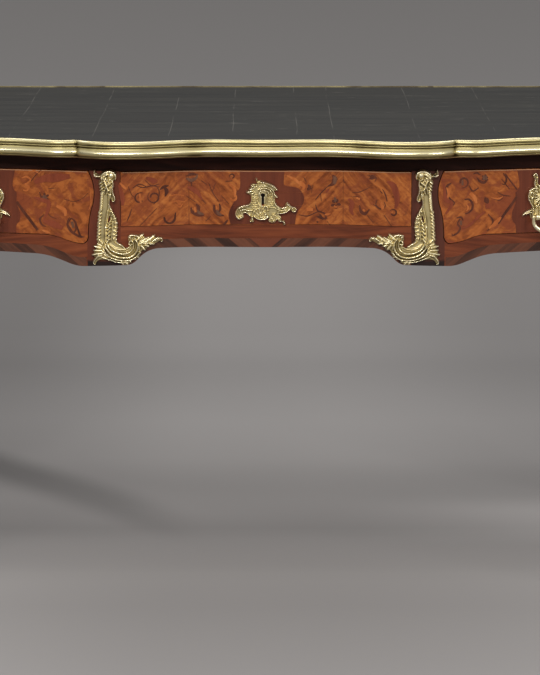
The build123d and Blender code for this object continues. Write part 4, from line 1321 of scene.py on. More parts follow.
def carve_corner():
    relief = Relief((-0.036, -0.272), (0.036, 0.001), cell=0.0009)

    def middle(height, drawn, style="round", teeth=0.0, pitch=0.009, sign=1):
        points = [(sign * a * mm, b * mm, c * mm) for a, b, c in places(drawn)]
        relief.stroke(points, height * mm, style, teeth, pitch)

    def both(height, drawn, style="round", teeth=0.0):
        """The stroke and its mirror image."""
        for sign in (1, -1):
            middle(height, drawn, style, teeth, 0.006, sign)

    # the hollow shell, the long leaf down the knee and the leaves beside it
    middle(2.6, "0,-14,12 0,-30,20 0,-48,17 0,-70,14", "channel")
    middle(5.0, "0,-60,10 0,-92,13 0,-130,11 0,-180,9 0,-225,6 0,-268,2", "leaf", 0.3)
    both(4.8, "5,-66,5 15,-82,8 20,-104,8 14,-122,3", "leaf", 0.3)
    both(4.6, "5,-110,4 11,-132,6 12,-156,5 6,-178,2", "leaf", 0.3)
    both(4.2, "4,-160,3 8,-182,4 8,-204,3.4 3,-222,1.4", "leaf", 0.3)
    # the shell's ribs, its scrolls and its boss
    for turn in range(4):
        angle = math.radians(9 + turn * 26)
        out, up = math.sin(angle), math.cos(angle)
        rib = [(6 * out, -44 + 7 * up, 2.0), (17 * out, -42 + 22 * up, 3.6)]
        both(5.0, rib + [(21 * out, -41 + 30 * up, 2.6)])
    both(5.8, "2,-3.5,3.4 14,-6,5 26,-16,5.6 30,-30,5.6 25,-43,5 16,-49,4 11,-43,3", "reeded")
    both(5.6, "10,-56,3.4 21,-60,5 28,-74,5 27,-89,4.6 19,-97,3.6 13,-90,2.6", "reeded")
    middle(5.6, "0,-44,8 0,-46,8")
    middle(5.4, "0,-54,4 0,-60,5 0,-68,3")
    relief.soften(reach=0.0018, share=0.95)
    return relief


def add_corners(name, points, faces, worn, node):
    """The wrapped front right casting and its three mirror images."""
    for end_name, end in ends:
        for side_name, sign in sides:
            turned = sign * end < 0
            placed = points * np.array((sign, end, 1))
            facing = (faces[:, ::-1] if turned else faces).tolist()
            full_name = f"{end_name}_{side_name}_{name}"
            piece = add_piece(full_name, placed, facing, bronze, "carcass")
            mark_wear_and_shade(piece, worn)
            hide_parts(f"{node}_{end_name}_{side_name}")
    return piece


piece = add_corners("corner_casting", *carve_corner().mesh(on_knee, 0.0003), "corner_mount")
print("corner mount faces:", len(piece.data.polygons))

# %% [markdown]
# A shoe goes right round the foot, so its flat drawing is a strip: across it is the angle about the
# foot, and up it is the height. Leaves rise from a rim at the floor and end in points against the
# wood.
# %% Shoes
shoe_height = 0.096
shoe_plain_height = 0.060
tall_leaf, short_leaf = 0.092, 0.078
shoe_wall = 0.004
shoe_radius = 0.026
foot_line = ((0.0, 0.7215, -0.3365), (0.04, 0.7155, -0.3305), (0.095, 0.7075, -0.3225))   # z, x, y
sabot_tree = tree_of("sabot_front_right")


def on_foot(u, v, lift):
    wrapped = []
    heights, xs, ys = zip(*foot_line)
    for across, height, out in zip(u, v, lift):
        height = min(max(height, 0.0), shoe_height)
        ray_z = min(max(height, 0.0006), shoe_height - 0.0004)
        middle = np.array((np.interp(height, heights, xs), np.interp(height, heights, ys), ray_z))
        angle = across / shoe_radius - math.pi / 4
        heading = np.array((math.cos(angle), math.sin(angle), 0))
        found = probe(sabot_tree, middle + heading * 0.08, -heading)
        base = np.array(found) if found else middle + heading * 0.02
        base[2] = height
        wrapped.append(base + heading * (out - shoe_wall + 0.0002))
    return np.array(wrapped)


def carve_shoe():
    half_way = math.pi * shoe_radius
    relief = Relief((-half_way, 0.0), (half_way, shoe_height), cell=0.00105)
    plain = relief.v < shoe_plain_height
    relief.outside[plain] = -0.002
    relief.height[plain] = 0.0016
    for turn in range(-4, 5):
        middle = turn * half_way / 4
        tip = tall_leaf if turn % 2 == 0 else short_leaf
        leaf = ((0.012, 0.008), (0.035, 0.0095), (0.062, 0.0085), (tip, 0.0012))
        relief.stroke([(middle, up, half) for up, half in leaf], 0.0038, "leaf", teeth=0.3, pitch=0.008)
    relief.stroke([(-half_way, 0.0038, 0.0042), (half_way, 0.0038, 0.0042)], 0.0038)
    relief.stroke([(-half_way, 0.0115, 0.0022), (half_way, 0.0115, 0.0022)], 0.0034)
    arch = [(-0.016, 0.020, 0.003), (-0.012, 0.034, 0.0034), (0.0, 0.040, 0.0036)]
    arch += [(-across, up, half) for across, up, half in arch[1::-1]]
    relief.stroke(arch, 0.0040, "reeded")
    relief.ball((0.0, 0.027), 0.0058, 0.0040)
    return relief


piece = add_corners("shoe_casting", *carve_shoe().mesh(on_foot, 0.0002), "sabot")
print("shoe faces:", len(piece.data.polygons))

# %% [markdown]
# ## Veneered reserves
# Round each lock the tulipwood stops at a scalloped line, and a plain dark wood takes over. The
# boundary is drawn as a list of places from the top of the drawer down, and the sheet between two
# boundaries is wrapped onto the frieze.
# %% Reserves
reserve_left = (                  # height and place across
    (0.727, -0.0412), (0.7009, -0.0412), (0.6929, -0.0475), (0.6818, -0.0483), (0.669, -0.0554),
    (0.6562, -0.0594), (0.641, -0.0560),
)
reserve_right = (
    (0.727, 0.0294), (0.7047, 0.0285), (0.7025, 0.0380), (0.6987, 0.0516), (0.6865, 0.0597),
    (0.6738, 0.0586), (0.6594, 0.0491), (0.641, 0.0459),
)
reserve_side = (                  # height and distance from the drawer's middle
    (0.727, 0.0702), (0.7033, 0.0659), (0.6929, 0.0691), (0.6897, 0.0722), (0.6722, 0.0722),
    (0.6578, 0.0775), (0.6435, 0.0760), (0.6371, 0.0710), (0.6120, 0.0710),
)
edge_gap = 0.0003
key_half = 0.0045                # an opening a little wider than the keyhole behind it
key_reach = 0.0105               # and as far under it as over it
centre_foot = 0.641


def boundary(points, heights):
    """Places of a scalloped line at the given heights."""
    path = smooth_path(points, 0.002)
    order = np.argsort(path[:, 0])
    return np.interp(heights, path[order, 0], path[order, 1])


def reserve_grid(left, right, low, high, lower_line=None, rows=34, columns=16):
    """left and right are boundaries. The sheet starts at low and stays above the lower line."""
    shares = np.linspace(0, 1, rows)
    levels = low.min() + (high - low.min()) * shares
    starts, ends = boundary(left, levels), boundary(right, levels)
    across = np.linspace(0, 1, columns)
    xs = starts[:, None] * (1 - across) + ends[:, None] * across
    floor = np.interp(xs, *lower_line) if lower_line else np.full_like(xs, low.min())
    zs = np.maximum(levels[:, None] + 0 * xs, floor + edge_gap)
    return np.stack([xs, zs], axis=-1)


def pierced_reserve(name, left, right, low, key, body, lower_line=None):
    """Four sheets that leave an opening for the keyhole: under, over and on each side of it."""
    bottom, top = np.array([key_z - key_reach]), np.array([key_z + key_reach])
    near, far = [((drawer_top, key + aside), (0.6, key + aside)) for aside in (-key_half, key_half)]
    parts = (
        ("under", left, right, low, bottom[0]), ("over", left, right, top, drawer_top - edge_gap),
        ("before", left, near, bottom, top[0]), ("beyond", far, right, bottom, top[0]),
    )
    for part, start, end, under, over in parts:
        grid = reserve_grid(start, end, under, over, lower_line, rows=18)
        sheet(f"{name}_{part}", grid, reserve_wood, body)


side_tree = tree_of("right_drawer_front")
side_x = np.arange(0.274, 0.6621, 0.003)
side_low = lower_edge(side_tree, side_x)
centre_low = np.array([centre_foot + edge_gap])
pierced_reserve("centre_reserve", reserve_left, reserve_right, centre_low, key_x, "drawer_centre")
centre_grid = reserve_grid(reserve_left, reserve_right, centre_low, drawer_top - edge_gap)
sheet("back_centre_reserve", centre_grid, reserve_wood, "carcass", on_back)
for side_name, sign in sides:
    lower_line = (side_x, side_low) if sign > 0 else (-side_x[::-1], side_low[::-1])
    near = tuple((z, sign * side_centre - d) for z, d in reserve_side)
    far = tuple((z, sign * side_centre + d) for z, d in reserve_side)
    low = side_low + edge_gap
    key, body = sign * side_centre, f"drawer_{side_name}"
    pierced_reserve(f"{side_name}_reserve", near, far, low, key, body, lower_line)
    side_grid = reserve_grid(near, far, low, drawer_top - edge_gap, lower_line)
    sheet(f"back_{side_name}_reserve", side_grid, reserve_wood, "carcass", on_back)
print("side drawer's lower edge:", side_low.min().round(4), "to", side_low.max().round(4))

# %% [markdown]
# The blocks of crossbanding lie in a band along the whole lower edge, front and back, and a pale
# line along the top of each drawer is a painted highlight on its arris.
# %% Crossbanding and a painted highlight
band_height = 0.0138
band_spans = (("left", -0.655, -0.2845), ("centre", -0.2275, 0.2275), ("right", 0.2845, 0.655))
for band_name, start, end in band_spans:
    xs = np.linspace(start, end, int((end - start) / 0.004))
    low = np.interp(xs, apron_x, apron_low) + edge_gap
    band = between_curves(xs, low, low + band_height, 3)
    sheet(f"{band_name}_crossband", band, crossband, "carcass")
    sheet(f"back_{band_name}_crossband", band, crossband, "carcass", on_back)

# a painted highlight along each drawer's top arris
arris_highlight = Finish("boxwood_stringing", Base_Color=srgb(176, 132, 98), Roughness=0.3)
highlight_width = 0.0010
highlight_spans = (("left", -0.6625, -0.2820), ("centre", -0.2275, 0.2275), ("right", 0.2820, 0.6625))
for drawer_name, start, end in highlight_spans:
    body = f"drawer_{drawer_name}"
    xs = np.linspace(start, end, int((end - start) / 0.004))
    top = np.full(len(xs), drawer_top - edge_gap)
    line = between_curves(xs, top - highlight_width, top)
    sheet(f"{body}_stringing", line, arris_highlight.material, body, lift=veneer_lift + 0.0001)
print("sheets so far:", sum("reserve" in name or "band" in name for name in made))

# %% [markdown]
# ## Marquetry
# Scrolls, hooks, drops and small flowers are let into the tulipwood. Each is a ribbon: a path with a
# half width at each point. They are drawn on squared paper laid over each half of the front, 26 mm to
# 100 squares, with the left half's zero at the left.
# %% Drawing marquetry
square = 0.0002638
square_up = 0.0002658
paper_top = 0.7440
paper_left = {"left": -0.4211, "right": 0.0063}
inlay_lift = 0.0004
curl_places = 14
petals = 5
wood_names = ("red", "light", "grey", "dark")


def on_paper(half, points):
    left = paper_left[half]
    return [(left + a * square, paper_top - b * square_up, c * square) for a, b, c in points]


def curl(across, down, radius, start, turns, width):
    """An open curl with a round head."""
    path = spiral((across, -down), radius, start, turns, shrink=0.5, count=curl_places)
    widths = tapered(curl_places, 1.2, width, end=width * 0.9, peak=0.6)
    return [[(a, -b, half) for (a, b), half in zip(path, widths)]]


class Inlay:
    """Ribbons of one wood on one body, gathered into one piece."""

    def __init__(self):
        self.points = []
        self.faces = []

    def ribbon(self, half, drawn, place, lift, middle=None):
        """One stroke, or with a middle its mirror image on the other side of that."""
        path = smooth_path(on_paper(half, drawn), 0.0016)
        if middle is not None:
            path[:, 0] = 2 * middle - path[:, 0]
        heading = headings(path)
        normal = np.stack([-heading[:, 1], heading[:, 0]], axis=-1)
        width = np.maximum(path[:, 2:3], 0.00005)
        grid = np.stack([path[:, :2] - normal * width, path[:, :2], path[:, :2] + normal * width], axis=1)
        points, faces = skirted(grid, place, lift, veneer_sink)
        start = len(self.points)
        self.points += points.tolist()
        self.faces += [tuple(start + index for index in reversed(face)) for face in faces]

    def finish(self, name, material, body, slot):
        return add_piece(name, self.points, self.faces, material, body, smooth=False)


def petal(across, down, length, turn, shape):
    """One straight ribbon; shape lists shares of its length and the half width there."""
    along, below = math.cos(math.radians(turn)), math.sin(math.radians(turn))
    steps = [(length * share, half) for share, half in shape]
    return [(across + along * step, down + below * step, half) for step, half in steps]


def flower(across, down, size, turn):
    """Petals round a middle."""
    shape = ((0.15, 0.5), (0.5, size * 0.24), (0.8, size * 0.26), (1.05, 0.8))
    return [petal(across, down, size, turn + index * 360 / petals, shape) for index in range(petals)]


def drop(across, down, length, turn, width):
    """A leaf-shaped drop."""
    shape = ((0, 0.6), (0.3, width * 0.9), (0.6, width), (0.85, width * 0.55), (1, 0.4))
    return [petal(across, down, length, turn, shape)]


named_shapes = {"curl": curl, "flower": flower, "drop": drop}


def read_drawings(text):
    """A drawer and a wood head each drawing, and a half each of its sheets. Then one line is one ribbon:
    its places, or a shape's name and numbers."""
    found = {}
    for line in text.strip().splitlines():
        first, *rest = line.split()
        if rest and rest[0] in wood_names:
            strokes = found.setdefault((first, rest[0]), [])
        elif first in paper_left:
            half = first
        elif first in named_shapes:
            strokes += [(half, stroke) for stroke in named_shapes[first](*map(float, rest))]
        else:
            strokes.append((half, places(line)))
    return found


print("a flower's ribbons:", len(flower(0, 0, 20, 0)))

# %% [markdown]
# The drawings themselves: mostly scrolls and hooks in the dark wood, with fewer ribbons in the rest.
# %% The drawings
drawings = """
centre red
left
718,138,6 738,213,14 738,263,8
1128,160,5 1160,176,14 1190,200,12 1214,240,4
880,96,4 920,116,16 948,122,5
right
338,193,6 353,173,5
470,232,5 492,256,14 486,300,12 500,330,4
700,120,6 740,150,18 760,230,16 750,280,6
centre light
left
1024,212,1.5 1060,206,5 1108,214,1.5
1030,252,1.5 1066,244,5 1112,250,1.5
1052,262,2 1080,280,5 1096,262,2
curl 1398 226 26 80 -0.7 6
right
100,92,3 150,118,9 196,160,3
664,262,2 676,274,8 668,290,2
drop 326 330 40 -10 6
left
1058,243,3 1083,268,6
723,128,5 748,153,8 763,163,4
1373,138,5 1408,178,9 1408,223,5
843,193,6 848,248,6
1168,283,5 1173,314,5
1298,278,4 1302,296,5
right
178,128,6 203,153,10 198,178,6
518,223,6 538,233,5
383,278,6 403,283,6
663,248,7 673,283,7
728,303,6 732,308,4
558,292,5 568,304,5
218,298,10 258,298,8
centre grey
left
1118,108,5 1148,120,10 1176,108,8 1186,88,3
1186,300,3 1196,318,9 1222,326,4
1300,300,4 1312,322,9 1330,330,3
right
386,98,8 390,118,11 384,144,8
388,224,5 392,240,8 390,252,4
centre dark
left
curl 842 222 38 60 0.72 5
curl 926 216 40 130 1.15 5
962,172,3 985,156,9 1014,150,3
986,158,5 1002,182,12 992,214,3
1120,96,2 1150,84,9 1190,88,3
1128,112,3 1158,122,8 1176,106,3
986,338,6 994,364,6 1020,376,6 1046,358,7 1054,312,3
1146,284,4 1154,312,9 1190,328,11 1224,334,3
1176,262,3 1192,284,10 1188,318,5
1286,268,5 1286,300,8 1310,328,9 1344,334,3
1316,262,3 1322,292,7 1310,318,4
curl 1394 98 18 200 -0.8 4
1164,164,2 1190,210,3 1236,262,2
800,160,2 838,136,3 880,150,2
1366,360,3 1352,378,7 1340,388,2
right
374,90,4 388,112,15 376,142,11 346,158,3
346,158,2.4 308,196,3 272,238,2
172,328,2 226,336,3 286,312,3 330,318,2
drop 276 336 62 20 8
drop 296 322 44 60 7
536,268,3 546,306,9 570,318,9 596,290,3
curl 738 308 24 150 -0.86 5
640,232,2 634,262,4 662,286,4 690,268,3 682,244,2
672,166,2 690,200,4 700,240,3
drop 590 108 46 -12 8
curl 612 100 16 0 0.8 4
236,150,2 228,176,7 250,168,2
flower 394 262 30 10
left
873,113,1.5 913,146,2.5 958,138,2
823,143,2 858,156,3 918,148,3 958,156,2
948,158,2 958,188,3 948,233,3 923,258,2
773,148,1.5 793,198,2 808,213,1.5
793,283,2 778,328,4 763,358,2
1148,128,5 1150,163,2
1253,138,1.5 1278,198,3 1313,248,1.5
1293,138,1.5 1273,193,2
1208,123,2 1243,148,2
1353,128,2 1393,125,2
1328,213,1.5 1373,263,1.5
1118,213,1.5 1173,253,1.5
1233,368,2 1263,338,2
838,388,1.5 943,283,2
right
203,103,2 218,133,2
228,148,3 236,160,9 240,175,4
258,148,1.2 248,198,1.2
273,268,2 286,303,4 323,320,4 343,353,2
283,368,7 287,378,3
330,345,9 340,352,6
303,198,1.5 308,248,1.5
438,113,2 448,138,2
493,193,1.5 538,188,2.5 598,158,1.5
498,218,1.5 538,213,1.5
618,258,2 648,283,3
683,323,2.5 728,388,2
583,328,2 618,368,1.5
588,88,2 633,96,3 628,123,2
658,178,2 673,193,3
343,368,1.5 363,393,1.5
left red
left
205,138,12 271,114,22 338,108,26 422,96,12
205,229,5 253,244,12 289,259,13 283,313,10 259,361,4
253,368,6 313,386,20 374,410,12
left light
left
128,116,3 160,106,6 182,124,5 164,144,5 146,152,4
148,154,4 172,166,6 158,190,5 136,186,3
drop 244 424 60 18 7
170,80,2 206,70,5 240,88,2
338,277,8 386,301,12 392,337,6
543,157,2 549,247,3 537,289,2
left grey
left
262,214,6 268,229,13 277,245,8
431,368,8 440,404,8
left dark
left
186,132,2 214,96,3 250,62,2
262,330,2 236,360,6 250,394,5 274,404,2
96,258,8 134,312,9 176,366,9 222,426,8
428,346,3 404,384,7 424,424,8 466,452,7 494,462,2
430,348,3 452,372,7 456,412,6 440,436,3
236,196,2 246,226,5 264,252,3
flower 270 226 26 40
416,343,3 404,380,5 428,422,5
446,356,4 464,404,5 482,452,6 507,458,2
289,175,1.5 338,169,1.5
386,235,1.5 446,247,1.5 500,223,1.5 531,193,1.5
283,313,2 300,340,2 340,356,1.5
right red
right
1041,138,4 1053,229,12 1089,259,10 1053,319,6
1306,265,14 1310,295,14
1294,313,3 1246,350,7 1198,392,6 1155,410,3
right light
right
1056,160,3 1070,196,8 1060,232,3
drop 1322 414 60 -30 8
1176,262,2 1190,286,6 1180,306,2
1330,230,2 1372,238,5 1400,226,2
1318,416,4 1366,374,11 1390,349,5
1200,200,8 1226,226,12 1240,262,6
right grey
right
1153,120,5 1153,150,7
1288,96,11 1290,122,14
1146,362,8 1148,390,6
right dark
right
1086,134,3 1062,150,8 1052,182,6 1072,222,5 1104,252,4 1096,270,2
curl 1158 132 36 250 0.86 6
1238,104,2 1256,128,7 1284,138,8 1308,118,3
1216,86,2 1240,80,5 1262,92,2
1166,236,4 1196,238,6 1216,264,7 1212,298,6 1188,318,4 1170,322,2
drop 1290 226 46 62 15
1118,346,3 1146,342,6 1160,362,3
1140,352,4 1126,380,5 1142,406,6 1128,434,6 1098,450,5 1092,438,2
1312,330,3 1340,366,5 1334,398,4 1308,432,3
1400,84,2 1420,120,6 1408,152,4 1390,146,2
1366,196,2 1400,216,3 1446,224,2
1486,226,7 1454,274,8 1414,326,8 1372,388,7
flower 1288 108 20 0
1192,151,2 1216,187,4 1252,169,3
1414,90,3 1439,126,4 1487,187,4
1391,120,2 1439,181,3
1342,235,2 1378,247,3 1402,229,2
"""
print("ribbons drawn:", {name: len(strokes) for name, strokes in read_drawings(drawings).items()})

# %% [markdown]
# Four woods are enough for the drawings: a dark one for the scrolls, a light one for what catches the
# eye, and a grey and a red one for the middles of leaves. Where ribbons cross, each lies a little
# higher than the one before, so that two never share a face.
# %% Laying marquetry
layer_step, layers = 0.00002, 5
tone_step = 0.0001
inlays = {
    "dark": ("kingwood", (srgb(58, 28, 18), srgb(84, 42, 27), srgb(104, 56, 36))),
    "light": ("tulipwood", (srgb(146, 76, 34), srgb(172, 94, 44), srgb(190, 116, 62))),
    "grey": ("kingwood", (srgb(74, 48, 36), srgb(98, 64, 48), srgb(120, 82, 60))),
    "red": ("kingwood", (srgb(100, 44, 27), srgb(123, 57, 34), srgb(140, 68, 40))),
}


def lay(name, strokes, wood, body, slot, lift, middle):
    """The same marquetry on the front and on the fixed back. With a middle it is mirrored too."""
    for place, rider, prefix in ((on_front, body, ""), (on_back, "carcass", "back_")):
        inlay = Inlay()
        for index, (half, drawn) in enumerate(strokes):
            layer = lift + layer_step * (index % layers)
            inlay.ribbon(half, drawn, place, layer)
            if middle is not None:
                inlay.ribbon(half, drawn, place, layer, middle)
        inlay.finish(f"{prefix}{name}", wood, rider, slot)


middles = {"centre": None, "left": -side_centre, "right": side_centre}
strokes_of = read_drawings(drawings)
for tone_index, (tone_name, (slot, tones)) in enumerate(inlays.items()):
    wood = make_wood(f"inlay_{tone_name}", tones, upright_grain)
    lift = inlay_lift + tone_step * tone_index
    for drawer_name, middle in middles.items():
        name, body = f"{drawer_name}_marquetry_{tone_name}", f"drawer_{drawer_name}"
        lay(name, strokes_of[drawer_name, tone_name], wood, body, slot, lift, middle)
print("pieces of marquetry:", sum("marquetry" in name for name in made))

# %% [markdown]
# ## Moulding bronze
# The edge of the top is rubbed bright by sleeves, while dirt and old varnish stay in its grooves, in
# patches, and at the joints. Like the castings it carries `worn`, here written into its
# section, which also paints highlights onto the beads and shade into the grooves and the inner slope.
# %% Moulding finish
cusp_x = 0.297


def make_moulding():
    metal = Finish("gilt_moulding", Metallic=1.0)
    x, y, z = metal.split(metal.where)
    worn = metal.add("ShaderNodeAttribute", {"attribute_name": "worn"}, output="Fac")
    cloud = metal.noise(metal.where, 22.0, detail=4)
    patch = metal.between(metal.noise(metal.where, 11.0, detail=5), 0.54, 0.7)
    speck = metal.noise(metal.where, 700.0, detail=2)
    joint = metal.between(abs(abs(x) - cusp_x), 0.006, 0.001)
    # tone: wear, dirt patches and dark joints, with the section's painted highlight and shade
    tone = worn + (cloud - 0.5) * 0.35 - patch * 0.3 - joint * 0.3
    low = metal.between(tone, 0.0, 0.45)
    high = metal.between(tone, 0.4, 1.0)
    colour = metal.mix(high, metal.mix(low, srgb(72, 60, 34), srgb(186, 172, 120)), srgb(232, 220, 176))
    metal.set(Base_Color=colour, Roughness=0.42 - 0.18 * high + 0.08 * speck)
    metal.set(Normal=metal.bump(speck + cloud * 3, 0.0002, 0.3))
    return metal.material


moulding = make_moulding()
print("moulding finish:", moulding.name)

# %% [markdown]
# ## The edge moulding
# The bronze edge is cast in six lengths. The solids give its path: their vertices at the height of
# the fullest part lie along the outline of the top. A finer section than theirs runs along that path,
# with a bead, a second thin bead, a cove and a torus, and it stays square to the joints at the cusps.
# %% Edge moulding
fullest = 0.761
station_step = 0.003
square_near_joint = 0.02
section = (                       # inset, height in mm, and brightness: wear, painted highlight and shade
    (18.0, 775.6, 0), (18.0, 778.5, 0.14), (11.3, 778.5, 0.14), (10.9, 779.0, 0.1), (9.9, 779.5, 0.12),
    (8.4, 779.8, 0.2), (6.8, 780.0, 0.35), (5.2, 779.8, 0.7), (3.9, 779.2, 1), (2.6, 778.1, 0.8),
    (1.7, 776.4, 0.45), (1.9, 774.5, 0.4), (3.1, 773.5, 0.1), (3.5, 773.0, 0), (2.9, 772.5, 0.35),
    (2.5, 771.8, 0.7), (3.1, 770.9, 0.5), (4.4, 770.3, 0.1), (5.3, 769.5, 0), (4.9, 768.5, 0.2),
    (4.2, 767.2, 0.55), (3.2, 765.9, 0.65), (2.0, 764.7, 0.75), (0.9, 763.4, 0.95), (0.2, 761.9, 1),
    (0.0, 760.4, 0.8), (0.5, 758.6, 0.55), (1.6, 757.0, 0.4), (3.0, 756.1, 0.1), (4.4, 755.8, 0),
    (4.7, 755.0, 0.3), (4.4, 754.1, 0.1), (9.9, 754.1, 0), (9.9, 775.6, 0),
)


def rim_path(name, end):
    """The vertices at the fullest height, from the leftmost one on, each to the nearest one left."""
    vertices = nodes[name].data.vertices
    left = {(round(v.co.x, 5), round(end * v.co.y, 5)) for v in vertices if abs(v.co.z - fullest) < 2e-5}
    path = [min(left)]
    while left:
        nearer = min(left, key=lambda item: math.dist(item, path[-1]))
        left.discard(nearer)
        if math.dist(nearer, path[-1]) > 1e-4:
            path.append(nearer)
    return np.array(path)


def even_stations(path):
    """The same path in equal steps."""
    lengths = travelled(path)
    stations = np.linspace(0, lengths[-1], int(lengths[-1] / station_step) + 1)
    return np.stack([np.interp(stations, lengths, path[:, axis]) for axis in (0, 1)], axis=-1)


def sweep_rim(path, joint_directions):
    """The section along the path. Inwards is to the left of it, and at a joint as given."""
    heading = headings(path)
    inward = np.stack([-heading[:, 1], heading[:, 0]], axis=-1)
    for end, joint_direction in zip((0, -1), joint_directions):
        share = np.clip(np.hypot(*(path - path[end]).T) / square_near_joint, 0, 1)[:, None]
        inward = inward * share + np.array(joint_direction) * (1 - share)
    points, count = [], len(section)
    for place, direction in zip(path, inward):
        for inset, height, _ in section:
            points.append((*(place + direction * inset * mm), height * mm))
    faces = ring_faces(len(path), count)
    faces.append(tuple(reversed(range(count))))
    faces.append(tuple(range((len(path) - 1) * count, len(path) * count)))
    return np.array(points), faces


def add_rim(name, points, faces, flip):
    turned = [tuple(reversed(face)) for face in faces] if flip else faces
    piece = add_piece(f"{name}_cast", points, turned, moulding, "carcass")
    piece.data.set_sharp_from_angle(angle=math.radians(50))
    wear_and_painted_light = np.tile([place[2] for place in section], len(points) // len(section))
    mark_wear_and_shade(piece, wear_and_painted_light)
    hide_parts(name)


for end_name, end in ends:
    points, faces = sweep_rim(even_stations(rim_path(f"rim_{end_name}", end)), ((0, 1), (0, 1)))
    add_rim(f"rim_{end_name}", points * np.array((1, end, 1)), faces, end < 0)
    points, faces = sweep_rim(even_stations(rim_path(f"rim_{end_name}_right", end)), ((0, 1), (-1, 0)))
    for side_name, sign in sides:
        add_rim(f"rim_{end_name}_{side_name}", points * np.array((sign, end, 1)), faces, sign * end < 0)
    print("moulding at the", end_name, "reaches y", round(end * float(points[:, 1].min()), 4))

# %% [markdown]
# ## Finishes for the solids
# What the solids already show well keeps its shape: boards, legs, linings, locks and handles. Each
# only gets the finish of what it is made of.
# %% End panels
def end_fold(wood, x, z):
    """The end panels' quarters, folded about the middle of the panel."""
    y = wood.split(wood.where)[1]
    return abs(y), abs(z - side_middle), abs(y)


tulip_end = make_tulipwood("tulipwood_end", end_fold)
print("end panels' quarters meet at z", side_middle)

# %% [markdown]
# Between the stiles and the aprons, and at the outer ends of the aprons, a sliver of light would show
# from close by. A joiner glues small dark blocks behind such places, so each gets one here, in the
# near-black rail wood, whose colour is partly painted shade.
# %% Blocks behind the frieze
block_heights = (0.594, 0.628)
block_depth = 0.012
block_reaches = {"stile": (0.262, 0.289), "apron": (0.64, 0.663)}
for side_name, sign in sides:
    for carrier_name, reaches in block_reaches.items():
        carrier = tree_of(f"front_{carrier_name}_{side_name}")
        behind = Vector((sign * sum(reaches) / 2, 0.2, 0.6))
        back_y = carrier.ray_cast(behind, Vector((0, -1, 0)))[0].y
        xs, ys = sorted(sign * reach for reach in reaches), (back_y - 0.0003, back_y + block_depth)
        corners = [(x, y, z) for z in block_heights for y in ys for x in xs]
        faces = ((0, 2, 3, 1), (4, 5, 7, 6), (0, 1, 5, 4), (1, 3, 7, 5), (3, 2, 6, 7), (2, 0, 4, 6))
        name = f"{carrier_name}_block_{side_name}"
        add_piece(name, corners, faces, dark_rail_and_shade_wood, "carcass", smooth=False)
        print(name, "at y", round(back_y, 4))

# %% [markdown]
# The drawer fronts end in a curve and the posts are straight, which leaves a thin wedge between them.
# A fillet fills it. Its inner edge comes from rays at the drawer front, less a clearance, and it
# stays clear of the drawer's linings, so that the drawer can slide.
# %% Fillets between the side drawers and the posts
post_face = 0.6638
fillet_clearance = 0.0013
fillet_set_back, fillet_depth = 0.0008, 0.01
fillet_heights = np.linspace(0.616, 0.7265, 28)
for side_name, sign in sides:
    drawer_front = tree_of(f"{side_name}_drawer_front")
    lining_reach = max(abs(corner[0]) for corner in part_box(f"{side_name}_drawer_linings"))
    reaches = []
    for z in fillet_heights:
        start = Vector((sign * post_face, float(front_y(sign * post_face)) + 0.004, z))
        hit = drawer_front.ray_cast(start, Vector((-sign, 0, 0)), 0.05)[0]
        reach = max(abs(hit.x), lining_reach) + fillet_clearance if hit else post_face
        reaches.append(min(reach, post_face - 0.0002))
    inner, outer = sign * np.array(reaches), np.full(len(reaches), sign * post_face)
    edges = (inner, outer) if sign > 0 else (outer, inner)
    grid = np.stack([np.stack(edges, axis=-1), np.stack([fillet_heights] * 2, axis=-1)], axis=-1)
    points, faces = skirted(grid, on_front, -fillet_set_back, fillet_depth)
    add_piece(f"post_fillet_{side_name}", points, faces, kingwood, "carcass", smooth=False)
print("fillets from", round(min(reaches), 4), "to", post_face)

# %% [markdown]
# A table of names says which finish each solid gets. A part of a name is enough, and the first match
# counts, so one line serves both partitions or all four legs.
# %% Finish of every solid
steel = Finish("steel", Metallic=1.0, Base_Color=srgb(150, 150, 150), Roughness=0.35).material
iron = Finish("iron", Metallic=1.0, Base_Color=srgb(92, 86, 80), Roughness=0.5).material
finish_of = {
    "leather_lining": leather, "top_board": oak_long, "glue_blocks": oak_long, "drawer_runners": oak,
    "partition": oak, "linings": oak, "drawer_bottom": oak_long, "lock_case": iron, "lock_bolt": iron,
    "top_screws": steel, "bail": plain_bronze, "front_top_rail": dark_rail_and_shade_wood,
    "front_stile_left": stile_wood, "front_stile_right": shaded_stile_wood, "front_apron": band_wood,
    "back_panel": kingwood, "leg_": kingwood,
    "end_panel": tulip_end, "back_false_fronts": tulip_side, "centre_drawer_front": tulip_centre,
    "left_drawer_front": tulip_side, "right_drawer_front": tulip_side,
}
painted = set()
for node_name, node in nodes.items():
    for key, material in finish_of.items():
        if key in node_name and node_name not in painted:
            node.data.materials.clear()
            node.data.materials.append(material)
            painted.add(node_name)
print("solids with a finish:", len(painted), "of", len(nodes))

# %% [markdown]
# ## The floor
# A single grey floor runs out past the edge of the view, so there is no horizon. Studio paper is never
# evenly lit, and here its light and shade are painted into its colour: a ramp along the depth gives
# it bands of painted light and shade, darkest in a band under the table, and a few soft masks paint
# shade and light to the left and right of the knee space, with a painted shadow of a leg on the left.
# %% Floor
floor_half = 30.0
floor_lines = 31
ramp_start, ramp_length = -1.0, 13.0
warmth = np.array((1.055, 1.0, 0.972))
